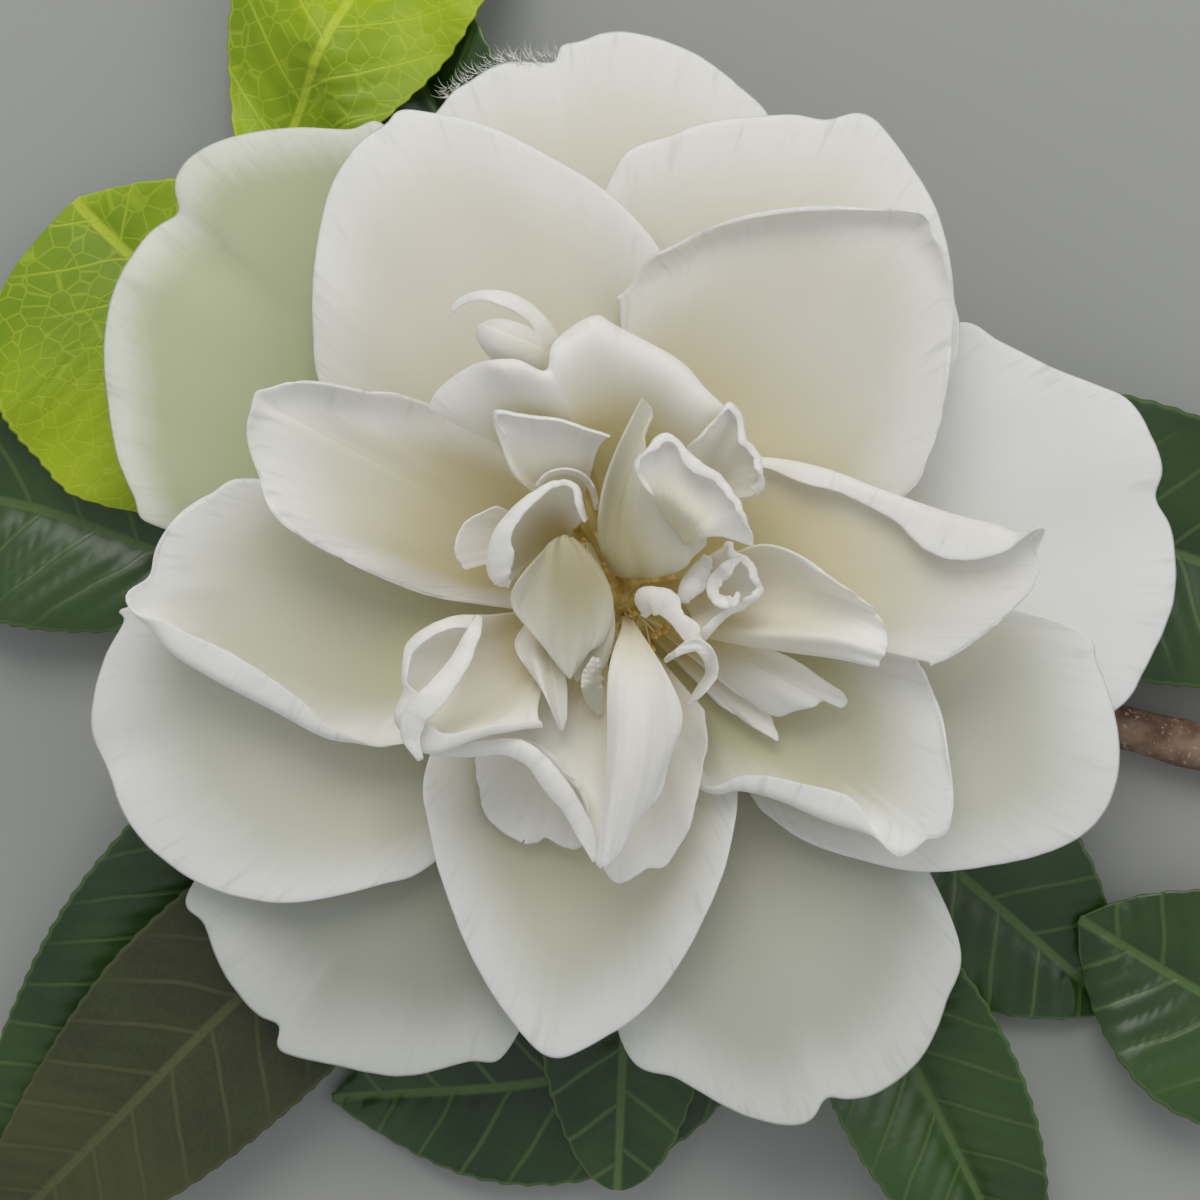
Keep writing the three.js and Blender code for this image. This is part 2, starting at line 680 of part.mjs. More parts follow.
function toGeometry(solid) {
  const geometry = new THREE.BufferGeometry();
  const positions = solid.vertices.flatMap((point) => [point.x, point.y, point.z]);
  geometry.setAttribute('position', new THREE.Float32BufferAttribute(positions, 3));
  const [a, b, c] = [new THREE.Vector3(), new THREE.Vector3(), new THREE.Vector3()];
  let volume = 0;
  for (const face of solid.faces) {
    a.copy(solid.vertices[face[0]]);
    b.copy(solid.vertices[face[1]]);
    c.copy(solid.vertices[face[2]]);
    volume += a.dot(b.cross(c));
  }
  geometry.setIndex(solid.faces.flatMap((face) => (volume > 0 ? face : [...face].reverse())));
  return geometry;
}

function solidFrom(geometry) {
  const positions = geometry.getAttribute('position');
  const vertices = [];
  for (let k = 0; k < positions.count; k += 1) {
    vertices.push(new THREE.Vector3().fromBufferAttribute(positions, k));
  }
  const faces = [];
  for (let k = 0; k < geometry.index.count; k += 3) {
    faces.push([0, 1, 2].map((n) => geometry.index.getX(k + n)));
  }
  return { vertices, faces };
}

// A solid turned round the bloom's axis, from a profile that starts and ends on it.
function turned(profile, segments) {
  const points = profile.map(([radius, height]) => new THREE.Vector2(radius, height));
  return new THREE.LatheGeometry(points, segments).rotateX(Math.PI / 2);
}

const sprig = new THREE.Group();

function addNode(name, geometry, color, roughness) {
  const mesh = new THREE.Mesh(geometry, finish(color, roughness));
  mesh.name = name;
  sprig.add(mesh);
}

// The stem lies on the ground and turns up under the bloom. Side shoots leave it 0.3 mm clear.
const ground = new HeightMap(-CLEARANCE);
const stemBearing = THREE.MathUtils.degToRad(STEM.direction);
const stemAhead = new THREE.Vector3(Math.cos(stemBearing), Math.sin(stemBearing), 0);
const stemAt = (reach, height) => stemAhead.clone().multiplyScalar(reach).setZ(height);
const LIMBS = {
  stem: {
    path: [
      stemAt(STEM.cutReach, STEM.cutRadius),
      stemAt(70, 2.6),
      stemAt(30, 2.5),
      stemAt(9, 2.6),
      stemAt(3, 3.6),
      stemAt(0.4, 5.6),
      stemAt(0, 8),
    ],
    radii: [STEM.cutRadius, STEM.tipRadius],
    steps: 16,
  },
  shoot_left: {
    path: [seen(2.6, 1.5, 2.4), seen(-4, 4, 2.2), seen(-18, 0.4, 2), seen(-28, -1, 2)],
    steps: 5,
  },
  shoot_upper: {
    path: [seen(7.9, 0.45, 2.2), seen(7, 8, 2), seen(-6, 20, 2), seen(-21, 28, 2), seen(-32, 32, 2)],
    steps: 7,
  },
  shoot_lower: {
    path: [seen(13.2, -6.8, 2.2), seen(13.2, -12, 2), seen(14.5, -20, 2), seen(19, -31, 2)],
    steps: 5,
  },
  shoot_right: { path: [seen(83.8, -25.6, 2), seen(83, -33, 2), seen(81.2, -42, 2)], steps: 3 },
};
for (const [name, spec] of Object.entries(LIMBS)) {
  const [foot, tip] = spec.radii ?? [SHOOT_RADIUS.foot, SHOOT_RADIUS.tip];
  const solid = limb(spec.path, foot, tip, spec.steps);
  ground.add(solid);
  addNode(name, toGeometry(solid), TWIG_BROWN, 0.8);
}

for (const [name, leaf] of Object.entries(LEAVES)) {
  const grid = leafGrid(leaf);
  const solid = layOver(ground, grid, leafThickness);
  addNode(name, toGeometry(solid), LIME_LEAVES.includes(name) ? LEAF_LIME : LEAF_GREEN, 0.45);
}

// The calyx is a bowl of sepals with the column that the petals are set round.
const calyxProfile = [
  [0, CALYX.bottom],
  [CALYX.seatRadius, CALYX.bottom],
  CALYX.lowFlare,
  CALYX.highFlare,
  [CALYX.bowlRadius, CALYX.bowlTop],
  [CALYX.lipRadius, CALYX.bowlTop],
  [CALYX.columnRadius, CALYX.columnFoot],
  [CALYX.columnRadius, CALYX.columnTop],
  [0, CALYX.columnTop],
];
addNode('calyx', turned(calyxProfile, 16), CALYX_GREEN, 0.6);

const bloomMap = new HeightMap(PETAL_FLOOR - CLEARANCE);
function addPetal(name, petal, foot, thickness, fullSteps) {
  const steps = petal.roll ? fullSteps : { ...fullSteps, along: fullSteps.along + 1, roll: 0 };
  const grid = petal.band ? bandGrid(petal.band, steps) : petalGrid(petal, foot, steps);
  const solid = layOver(bloomMap, grid, thinning(thickness, grid[0].length), steps.along);
  const placed = { vertices: solid.vertices.map(fromView), faces: solid.faces };
  addNode(name, toGeometry(placed), PETAL_WHITE, 0.55);
}

for (const [name, petal] of Object.entries(PETALS)) {
  addPetal(name, petal, PETAL_FOOT, PETAL_THICKNESS, PETAL_STEPS);
}

// The heart is the low golden tuft of stamens that the small petals stand round.
const heartProfile = [
  [0, HEART.bottom],
  [HEART.radius, HEART.bottom],
  [HEART.radius, HEART.shoulder],
  [0, HEART.top],
];
const heart = turned(heartProfile, 12);
bloomMap.add(solidFrom(heart));
addNode('heart', heart, HEART_GOLD, 0.7);

for (const [name, petaloid] of Object.entries(PETALOIDS)) {
  addPetal(name, petaloid, PETALOID_FOOT, PETALOID_THICKNESS, PETALOID_STEPS);
}

// The sprig is centred over the origin, so that it stands on the middle of its footprint.
const box = new THREE.Box3().setFromObject(sprig);
const middle = box.getCenter(new THREE.Vector3());
sprig.position.set(-middle.x, -middle.y, -box.min.z);
sprig.updateMatrixWorld(true);

export default sprig;
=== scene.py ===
# %% [markdown]
# A cut camellia sprig: one large white double bloom, face up, with its leaves and twig under it.
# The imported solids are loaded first, because they say where every piece sits and how large it is.
# Everything below is built round them, in the same frame, and replaces the plain solids one by one.

# %% Load the frame
import math

import bpy
import numpy as np
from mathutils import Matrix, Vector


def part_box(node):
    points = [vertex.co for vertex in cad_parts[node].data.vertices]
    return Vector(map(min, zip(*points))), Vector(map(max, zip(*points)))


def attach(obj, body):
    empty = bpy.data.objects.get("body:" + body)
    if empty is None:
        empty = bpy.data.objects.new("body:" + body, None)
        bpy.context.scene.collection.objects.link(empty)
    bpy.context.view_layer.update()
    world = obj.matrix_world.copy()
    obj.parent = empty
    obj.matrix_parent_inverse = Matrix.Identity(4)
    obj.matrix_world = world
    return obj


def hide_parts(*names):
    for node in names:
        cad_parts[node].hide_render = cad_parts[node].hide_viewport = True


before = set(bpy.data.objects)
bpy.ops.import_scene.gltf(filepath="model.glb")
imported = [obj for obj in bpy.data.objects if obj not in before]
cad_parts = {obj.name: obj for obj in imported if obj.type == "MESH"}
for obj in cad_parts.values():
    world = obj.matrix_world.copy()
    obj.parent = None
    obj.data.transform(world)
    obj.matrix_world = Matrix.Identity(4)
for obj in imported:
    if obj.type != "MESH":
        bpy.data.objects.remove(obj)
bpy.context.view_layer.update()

print("solids in the frame:", len(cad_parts))

# %% [markdown]
# Sizes are in millimetres, as on a drawing, and only become metres where a mesh is made. The outlines
# of the petals were read from straight above the bloom, so they are kept as that eye sees them at one
# level, and each point slides along its line of sight to its own height. That keeps every overlap in
# the picture where it was seen, whatever height a petal ends up at.

# %% Sizes and the line of sight
MM = 0.001
VIEW_HEIGHT = 264.0
VIEW_LEVEL = 24.0
VIEW_AXIS = np.array([-1.5, -1.0])
CLEARANCE = 0.3

calyx_low, calyx_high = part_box("calyx")
BLOOM_AXIS = np.array([calyx_low.x + calyx_high.x, calyx_low.y + calyx_high.y]) / 2 / MM


def from_view(points):
    """Moves seen points along their lines of sight to their own heights."""
    points = np.asarray(points, float)
    scale = (VIEW_HEIGHT - points[..., 2:]) / (VIEW_HEIGHT - VIEW_LEVEL)
    plan = VIEW_AXIS + (points[..., :2] - VIEW_AXIS) * scale
    return np.concatenate([plan, points[..., 2:]], axis=-1)


def to_frame(points):
    """Millimetres round the bloom's axis become metres in the row's frame."""
    moved = np.array(points, float)
    moved[..., :2] += BLOOM_AXIS
    return moved * MM


print("bloom axis at", BLOOM_AXIS.round(2), "mm")

# %% [markdown]
# Petals are drawn with smooth lines through a few points. A Catmull-Rom curve is the simplest one that
# goes through its points, and resampling it by its own length spreads the mesh evenly along the rim.

# %% Smooth lines
def along(values, t):
    """Reads a smooth curve through evenly spaced values at t from 0 to 1."""
    values = np.asarray(values, float)
    place = np.clip(t, 0, 1) * (len(values) - 1)
    k = np.minimum(place.astype(int), len(values) - 2)
    f = (place - k).reshape(place.shape + (1,) * (values.ndim - 1))
    before, b = values[np.maximum(k - 1, 0)], values[k]
    c, after = values[k + 1], values[np.minimum(k + 2, len(values) - 1)]
    slope_b, slope_c = (c - before) / 2, (after - b) / 2
    bulk = (2 * f**3 - 3 * f**2 + 1) * b + (3 * f**2 - 2 * f**3) * c
    return bulk + (f**3 - 2 * f**2 + f) * slope_b + (f**3 - f**2) * slope_c


def by_length(line, shares):
    """Points of a dense line at the given shares of its length."""
    steps = np.linalg.norm(np.diff(line, axis=0), axis=1)
    reached = np.concatenate([[0], np.cumsum(steps)])
    columns = [np.interp(np.asarray(shares) * reached[-1], reached, column) for column in line.T]
    return np.stack(columns, axis=-1)


def evenly(knots, count):
    """A smooth line through the knots, as count points spread evenly along it."""
    dense = along(knots, np.linspace(0, 1, 60 * len(knots)))
    return by_length(dense, np.linspace(0, 1, count))


def limb_line(knots, samples=40):
    """A smooth line through knots of uneven spacing, which doesn't swing out between close ones."""
    knots = np.asarray(knots, float)
    points = np.vstack([2 * knots[0] - knots[1], knots, 2 * knots[-1] - knots[-2]])
    pieces = []
    for p0, p1, p2, p3 in zip(points, points[1:], points[2:], points[3:]):
        d0, d1, d2 = (math.sqrt(np.linalg.norm(b - a)) for a, b in ((p0, p1), (p1, p2), (p2, p3)))
        slope1 = d1 * ((p1 - p0) / d0 - (p2 - p0) / (d0 + d1) + (p2 - p1) / d1)
        slope2 = d1 * ((p2 - p1) / d1 - (p3 - p1) / (d1 + d2) + (p3 - p2) / d2)
        t = np.linspace(0, 1, samples, endpoint=False)[:, None]
        places = (2 * t**3 - 3 * t**2 + 1) * p1 + (3 * t**2 - 2 * t**3) * p2
        pieces.append(places + (t**3 - 2 * t**2 + t) * slope1 + (t**3 - t**2) * slope2)
    return np.vstack(pieces + [knots[-1:]])


def smoothed(values, width):
    """A running mean down the rows, with the ends repeated."""
    blur = np.ones(width) / width
    columns = [np.convolve(np.pad(c, width // 2, mode="edge"), blur, "valid") for c in values.T]
    return np.stack(columns, axis=-1)


def ease(low, high, value):
    """0 below low, 1 above high, and smooth between them."""
    t = np.clip((value - low) / (high - low), 0, 1)
    return t * t * (3 - 2 * t)


# %% [markdown]
# Petals lie on one another, so a petal can't be placed alone. A height map keeps the highest point so
# far under every half millimetre of the plan. Each new sheet is lifted where it would dip below that,
# and the lift is spread like a stretched skin, so that it bends softly over what it lies on.

# %% The height map and the draping
def normals_of(grid):
    """Unit normals of a grid of points, upward for a sheet that lies flat."""
    down_rows = np.gradient(grid, axis=0)
    down_columns = np.gradient(grid, axis=1)
    normal = np.cross(down_columns, down_rows)
    length = np.linalg.norm(normal, axis=-1, keepdims=True)
    return normal / np.maximum(length, 1e-9)


def weave(count, parts):
    """Weights that split each step of a row of points into smaller steps."""
    places = np.linspace(0, count - 1, (count - 1) * parts + 1)
    k = np.minimum(places.astype(int), count - 2)
    weights = np.zeros((len(places), count))
    weights[np.arange(len(places)), k] = 1 - (places - k)
    weights[np.arange(len(places)), k + 1] = places - k
    return weights


def finer(grid, parts):
    rows, columns = weave(grid.shape[0], parts), weave(grid.shape[1], parts)
    return np.einsum("ai,bj,ijk->abk", rows, columns, grid, optimize=True)


class HeightMap:
    """The highest point of all that lies under each place of the plan."""

    CELL = 0.5
    HALF = 125.0

    def __init__(self, floor):
        size = int(2 * self.HALF / self.CELL)
        self.heights = np.full((size, size), float(floor))

    def cells(self, points):
        place = np.rint((points[..., :2] + self.HALF) / self.CELL).astype(int)
        return np.clip(place, 1, len(self.heights) - 2)

    def add(self, grid, half_thickness):
        for side in (1, -1):
            surface = finer(grid + side * half_thickness * normals_of(grid), 5)
            place = self.cells(surface)
            for di in (-1, 0, 1):
                for dj in (-1, 0, 1):
                    np.maximum.at(self.heights, (place[..., 0] + di, place[..., 1] + dj), surface[..., 2])

    def shortfall(self, grid, half_thickness, parts=4):
        """How far each point has to rise for the sheet to lie clear of what is under it."""
        worst = None
        for side in (1, -1):
            surface = finer(grid + side * half_thickness * normals_of(grid), parts)
            place = self.cells(surface)
            need = self.heights[place[..., 0], place[..., 1]] + CLEARANCE - surface[..., 2]
            worst = need if worst is None else np.maximum(worst, need)
        padded = np.pad(worst, parts - 1, mode="edge")
        rows, columns = grid.shape[:2]
        best = np.full((rows, columns), -1e9)
        for di in range(2 * parts - 1):
            for dj in range(2 * parts - 1):
                window = padded[di::parts, dj::parts][:rows, :columns]
                best = np.maximum(best, window)
        return np.maximum(best, 0)


def stretched(need, keep=0.994, passes=150):
    """The lowest soft skin over the needed lift."""
    lift = need.copy()
    for _ in range(passes):
        wide = np.pad(lift, 1, mode="edge")
        mean = (wide[:-2, 1:-1] + wide[2:, 1:-1] + wide[1:-1, :-2] + wide[1:-1, 2:]) / 4
        lift = np.maximum(need, mean * keep)
    return lift


def lay_over(height_map, grid, half_thickness, stiff_from=None, loose=1.0, pinned=False):
    """Lifts a grid clear of the map, then adds it to the map. Points where loose is 0 stay in place."""
    for _ in range(6):
        need = height_map.shortfall(grid, half_thickness) * loose
        if need.max() < 0.03:
            break
        lift = stretched(need)
        if pinned:
            lift = lift * loose
        if stiff_from is not None:
            lift[:, stiff_from:] = lift[:, stiff_from:].max(axis=1, keepdims=True)
        grid[..., 2] += lift
    height_map.add(grid, half_thickness)
    return grid


# %% [markdown]
# A finish is a node tree. Written as Python, its maths reads like maths: a Wire wraps one socket, and
# plus, minus and times on it add Math nodes. Every other node comes from one method, which takes the
# node's type, its settings, and what goes into its sockets.

# %% The finish builder
class Wire:
    """A socket whose operators add Math nodes to its tree."""

    def __init__(self, finish, socket):
        self.finish, self.socket = finish, socket

    def math(self, operation, *values):
        return self.finish.node("ShaderNodeMath", {"operation": operation}, dict(enumerate(values)))

    def __add__(self, other):
        return self.math("ADD", self, other)

    def __sub__(self, other):
        return self.math("SUBTRACT", self, other)

    def __rsub__(self, other):
        return self.math("SUBTRACT", other, self)

    def __mul__(self, other):
        return self.math("MULTIPLY", self, other)

    __radd__ = __add__
    __rmul__ = __mul__

    def between(self, low, high):
        """0 at low, 1 at high, smooth between."""
        sockets = {"Value": self, "From Min": low, "From Max": high}
        return self.finish.node("ShaderNodeMapRange", {"interpolation_type": "SMOOTHSTEP"}, sockets)


class Finish:
    """A material and the methods that add to its node tree."""

    def __init__(self, name):
        self.material = bpy.data.materials.new(name)
        self.material.use_nodes = True
        self.tree = self.material.node_tree
        self.shader = self.tree.nodes["Principled BSDF"]
        self.shader.subsurface_method = "BURLEY"

    def node(self, kind, settings, sockets, output=0):
        node = self.tree.nodes.new(kind)
        for name, value in settings.items():
            setattr(node, name, value)
        for key, value in sockets.items():
            if isinstance(value, Wire):
                self.tree.links.new(value.socket, node.inputs[key])
            else:
                node.inputs[key].default_value = value
        return Wire(self, node.outputs[output])

    def attribute(self, name, output="Fac"):
        return self.node("ShaderNodeAttribute", {"attribute_name": name}, {}, output)

    def mix(self, share, first, second):
        sockets = {0: share, 6: first, 7: second}
        return self.node("ShaderNodeMix", {"data_type": "RGBA"}, sockets, 2)

    def noise(self, vector, scale, detail=2.0, roughness=0.5):
        sockets = {"Vector": vector, "Scale": scale, "Detail": detail, "Roughness": roughness}
        return self.node("ShaderNodeTexNoise", {}, sockets, "Fac")

    def relief(self, height, distance, strength=1.0):
        sockets = {"Height": height, "Distance": distance * MM, "Strength": strength}
        return self.node("ShaderNodeBump", {}, sockets, "Normal")

    def surface(self, **sockets):
        """Sets the shader's sockets, named with underscores for spaces."""
        for name, value in sockets.items():
            socket = self.shader.inputs[name.replace("_", " ").title().replace("Ior", "IOR")]
            if isinstance(value, Wire):
                self.tree.links.new(value.socket, socket)
            else:
                socket.default_value = value
        return self.material


def rgb(red, green, blue):
    """A colour picked as 0 to 255 screen values, as the shader wants it."""
    parts = [channel / 255 for channel in (red, green, blue)]
    return tuple(c / 12.92 if c < 0.04045 else ((c + 0.055) / 1.055) ** 2.4 for c in parts) + (1.0,)


# %% [markdown]
# White petals are never one white. They are creamy at the foot, partly in their own colour and partly
# as painted light that stands for the glow through the many layers there, and paler in a band along the
# rim, with fine streaks that cross it. The light that sinks in and comes out again a millimetre further
# on is subsurface scattering, and it is what makes a petal look soft instead of like plaster. Low in the
# hollow the colour turns golden olive, partly cream and partly painted shade. Petals low in the bloom get
# a greyer middle than the ones on top, which is painted shade, and so do the small petals that lie in
# shade. One petal gets painted green light from the leaf under it, and one a whiter white, painted light.

# %% Petal finishes
def petal_finish(name, white, middle, base, reach, streak=0.3, specks=0.0, band=12.0):
    """White in a band along the rim, middle over most of it, and base near the axis, within reach."""
    finish = Finish(name)
    grain = finish.attribute("grain", "Vector")
    streaks = finish.noise(grain, 1.0, 2.0, 0.6)
    place = finish.node("ShaderNodeTexCoord", {}, {}, "Object")
    patches = finish.noise(place, 55.0, 1.0)
    outward = finish.attribute("reach")
    to_rim = finish.attribute("rim")
    # Near the axis: partly the petal's own cream, partly painted light for the glow through the layers.
    fade = (outward + (patches - 0.5) * 0.16).between(*reach)
    colour = finish.mix(fade, base, middle)
    # Low in the hollow a golden olive is mixed in: partly the petals' own cream, partly painted shade.
    colour = finish.mix(finish.attribute("deep"), colour, rgb(220, 202, 132))
    near_rim = (to_rim + (patches - 0.5) * 5 + streaks * 2).between(band, 1.5)
    colour = finish.mix(near_rim, colour, white)
    lined = streaks.between(0.52, 0.78) * to_rim.between(5.5, 0.6) * streak
    colour = finish.mix(lined, colour, rgb(196, 198, 190))
    if specks:
        spots = finish.noise(place, 900.0, 1.0)
        specked = spots.between(0.79, 0.82) * to_rim.between(1.2, 0.3) * specks
        colour = finish.mix(specked, colour, rgb(160, 116, 62))
    relief = finish.relief(streaks * (to_rim.between(9, 1) * 0.85 + 0.15), 0.13, 0.6)
    return finish.surface(
        base_color=colour, roughness=0.5, subsurface_weight=0.2, subsurface_scale=0.0016,
        subsurface_radius=(1.0, 0.9, 0.72), specular_ior_level=0.35, normal=relief)


PETAL_WARM = petal_finish(
    "petal_warm_white", rgb(253, 252, 249), rgb(242, 239, 226), rgb(232, 222, 176), (0.18, 0.62))
# Soft painted shade: a greyer middle and foot for the petals lower in the bloom.
PETAL_SOFT_PAINTED_SHADE = petal_finish(
    "petal_white_soft_painted_shade", rgb(252, 252, 250), rgb(228, 228, 212), rgb(216, 211, 172), (0.2, 0.8))
# Painted light: a whiter white for the petal that faces the light.
PETAL_PAINTED_LIGHT = petal_finish(
    "petal_white_painted_light", rgb(255, 255, 254), rgb(251, 252, 249), rgb(232, 229, 208), (0.2, 0.7))
# More painted shade: a grey middle for a low back petal that lies in shade.
PETAL_MID_PAINTED_SHADE = petal_finish(
    "petal_white_mid_painted_shade", rgb(240, 241, 235), rgb(210, 212, 198), rgb(198, 196, 166), (0.2, 0.85))
# The deepest painted shade, for the low back petal that lies most in shade.
PETAL_DEEP_PAINTED_SHADE = petal_finish(
    "petal_white_deep_painted_shade", rgb(228, 230, 222), rgb(188, 191, 176), rgb(178, 177, 150), (0.2, 0.85))
# Painted green light from the lime leaf under the petal, with painted shade in its greyer middle.
PETAL_PAINTED_LEAF_LIGHT_AND_SHADE = petal_finish(
    "petal_white_painted_leaf_light_and_shade", rgb(243, 245, 234), rgb(208, 214, 180), rgb(197, 205, 158), (0.45, 1.0), band=7.5)
PETALOID_FREE = petal_finish(
    "petaloid_free_white", rgb(254, 254, 252), rgb(250, 249, 242), rgb(240, 234, 208), (0.02, 0.2), 0.2, 0.5)
PETALOID = petal_finish(
    "petaloid_cream", rgb(253, 252, 248), rgb(244, 240, 226), rgb(226, 214, 162), (0.06, 0.3), 0.2, 0.7)
# Painted shade for the small petals that lie in shade in the middle.
PETALOID_PAINTED_SHADE = petal_finish(
    "petaloid_painted_shade", rgb(232, 230, 216), rgb(214, 210, 190), rgb(196, 187, 146), (0.04, 0.3), 0.15, 0.4)
# The hood's wide cream foot is partly its own cream and partly painted shade of the hollow under it.
PETALOID_HOOD_CREAM_AND_PAINTED_SHADE = petal_finish(
    "petaloid_hood_cream_and_painted_shade", rgb(253, 252, 248), rgb(246, 243, 232), rgb(222, 211, 160), (0.26, 0.46), 0.2, 0.4)
print("petal finishes:", len(bpy.data.materials))

# %% [markdown]
# Camellia leaves are glossy above and matt below, with a pale midrib, side veins that lean to the tip,
# and a fine net between them. The attribute "vein" holds the distance from the midrib and the distance
# from the blade's foot in millimetres, so the veins are plain arithmetic on two numbers. Veins are also
# pressed into the surface. The net is too, but only where it is strong, because a faint one is colour.

# %% Leaf and twig finishes
VEINS = {"spacing": 6.2, "slant": 0.62, "curve": 0.012, "shift": 0.13}
FAINT_NET = 0.2


def leaf_finish(name, deep, light, vein, under, gloss, net, cell=0.8, fine=0.075):
    """deep and light are the greens of the upper side, under is the lower side, cell the net's mesh."""
    finish = Finish(name)
    place = finish.attribute("vein", "Vector")
    parts = [finish.node("ShaderNodeSeparateXYZ", {}, {"Vector": place}, k) for k in range(2)]
    aside, down = parts[0].math("ABSOLUTE", parts[0]), parts[1]
    side = parts[0].math("SIGN", parts[0])
    bend = finish.noise(place, 0.12, 1.0) * 1.6
    start = down - aside * VEINS["slant"] - parts[0] * parts[0] * VEINS["curve"] + bend
    phase = start * (1 / VEINS["spacing"]) + side * VEINS["shift"]
    to_vein = phase.math("PINGPONG", phase, 0.5)
    veins = to_vein.between(fine, fine / 5) * aside.between(15, 6)
    midrib = aside.between(0.75, 0.3)
    cells = {"Vector": place, "Scale": cell, "Randomness": 1.0}
    mesh = finish.node("ShaderNodeTexVoronoi", {"feature": "DISTANCE_TO_EDGE"}, cells, "Distance")
    web = mesh.between(0.15 * cell, 0.025 * cell)
    lines = veins.math("MAXIMUM", veins * 0.7, midrib)
    lines = lines.math("MAXIMUM", lines, web * net)
    patches = finish.noise(finish.node("ShaderNodeTexCoord", {}, {}, "Object"), 40.0, 3.0)
    green = finish.mix(patches.between(0.3, 0.7), deep, light)
    upper = finish.mix(lines * finish.attribute("blade"), green, vein)
    upper = finish.mix(finish.attribute("margin").between(0.45, 0.1) * 0.6, upper, vein)
    lower = finish.mix(lines * 0.5, under, vein)
    is_upper = finish.attribute("upper")
    pressed_in = veins * -0.45
    if net > FAINT_NET:
        pressed_in = pressed_in - web * (0.4 * net)
    return finish.surface(
        base_color=finish.mix(is_upper, lower, upper), roughness=0.62 - is_upper * gloss,
        coat_weight=is_upper * gloss, coat_roughness=0.25, specular_ior_level=0.5,
        normal=finish.relief(pressed_in, 0.2, 0.6))


LEAF_GREEN = leaf_finish("leaf_dark_green", rgb(30, 60, 24), rgb(60, 96, 38), rgb(92, 124, 58),
                         rgb(112, 134, 78), 0.3, 0.05)
LEAF_LIME = leaf_finish("leaf_lime_green", rgb(136, 170, 0), rgb(184, 208, 0), rgb(204, 222, 60),
                        rgb(146, 170, 70), 0.08, 0.45, 0.42, 0.05)
LEAF_UNDERSIDE = leaf_finish("leaf_underside", rgb(54, 60, 32), rgb(76, 82, 46), rgb(94, 100, 58),
                             rgb(72, 88, 44), 0.05, 0.12)


def bark_finish():
    finish = Finish("twig_bark")
    place = finish.node("ShaderNodeTexCoord", {}, {}, "Object")
    patches = finish.noise(place, 260.0, 4.0, 0.6)
    warts = finish.noise(place, 1500.0, 2.0)
    colour = finish.mix(patches.between(0.35, 0.65), rgb(116, 84, 66), rgb(168, 138, 116))
    colour = finish.mix(warts.between(0.62, 0.7), colour, rgb(196, 176, 156))
    relief = finish.relief(patches + warts * 0.5, 0.25, 0.7)
    return finish.surface(base_color=colour, roughness=0.75, normal=relief)


def mottled_finish(name, deep, light, scale, relief_depth):
    """Two colours in soft patches with a fine relief, for the small parts."""
    finish = Finish(name)
    place = finish.node("ShaderNodeTexCoord", {}, {}, "Object")
    patches = finish.noise(place, scale, 3.0, 0.6)
    relief = finish.relief(patches, relief_depth, 0.6)
    colour = finish.mix(patches.between(0.35, 0.65), deep, light)
    finish.surface(base_color=colour, roughness=0.6, normal=relief)
    return finish


def cut_finish(centre, radius):
    """Pale wood with rings round its pith and a green-brown line under the bark."""
    finish = Finish("cut_wood")
    place = finish.node("ShaderNodeTexCoord", {}, {}, "Object")
    out = finish.node("ShaderNodeVectorMath", {"operation": "DISTANCE"}, {0: place, 1: centre}, "Value")
    out = out * (1 / radius) + finish.noise(place, 500.0, 2.0) * 0.06
    rings = (out * 6).math("PINGPONG", out * 6, 0.5).between(0.1, 0.45)
    colour = finish.mix(rings, rgb(196, 170, 124), rgb(222, 202, 160))
    colour = finish.mix(out.between(0.24, 0.14), colour, rgb(150, 112, 70))
    colour = finish.mix(out.between(0.84, 0.9), colour, rgb(122, 124, 62))
    return finish.surface(base_color=colour, roughness=0.7, normal=finish.relief(rings, 0.1))


TWIG_BARK = bark_finish()
HEART_GOLD = mottled_finish("heart_gold", rgb(196, 160, 66), rgb(234, 206, 126), 900.0, 0.2).material
SEPAL_GREEN = mottled_finish("sepal_green", rgb(112, 124, 62), rgb(168, 174, 108), 300.0, 0.15).material
stamens_look = mottled_finish("stamen_gold", rgb(200, 150, 52), rgb(232, 188, 86), 1500.0, 0.1)
thread_to_pod = stamens_look.mix(stamens_look.attribute("pod"), rgb(246, 236, 190), rgb(230, 194, 96))
STAMEN_GOLD = stamens_look.surface(base_color=thread_to_pod)
print("finishes:", len(bpy.data.materials))

# %% [markdown]
# Every petal and leaf is a thin sheet. It starts as a flat grid primitive, whose vertices are then
# placed by the rule of that petal. Solidify gives it its thickness and Subdivision rounds its rim.
# Extruding such free forms by hand would take hundreds of moves and still leave them lumpy.

# %% Making a sheet
WEIGHT_STEPS = 40


def deselect():
    if bpy.context.object and bpy.context.object.mode != "OBJECT":
        bpy.ops.object.mode_set(mode="OBJECT")
    bpy.ops.object.select_all(action="DESELECT")


def apply_modifiers(piece):
    bpy.context.view_layer.objects.active = piece
    for modifier in list(piece.modifiers):
        bpy.ops.object.modifier_apply(modifier=modifier.name)


def places_in(mesh):
    flat = np.zeros(len(mesh.vertices) * 3)
    mesh.vertices.foreach_get("co", flat)
    return flat.reshape(-1, 3)


def store(mesh, name, values):
    """Writes one number, or one vector, for each vertex as a named attribute."""
    values = np.asarray(values, np.float32)
    kind, key = ("FLOAT", "value") if values.ndim == 1 else ("FLOAT_VECTOR", "vector")
    mesh.attributes.new(name, kind, "POINT").data.foreach_set(key, values.ravel())


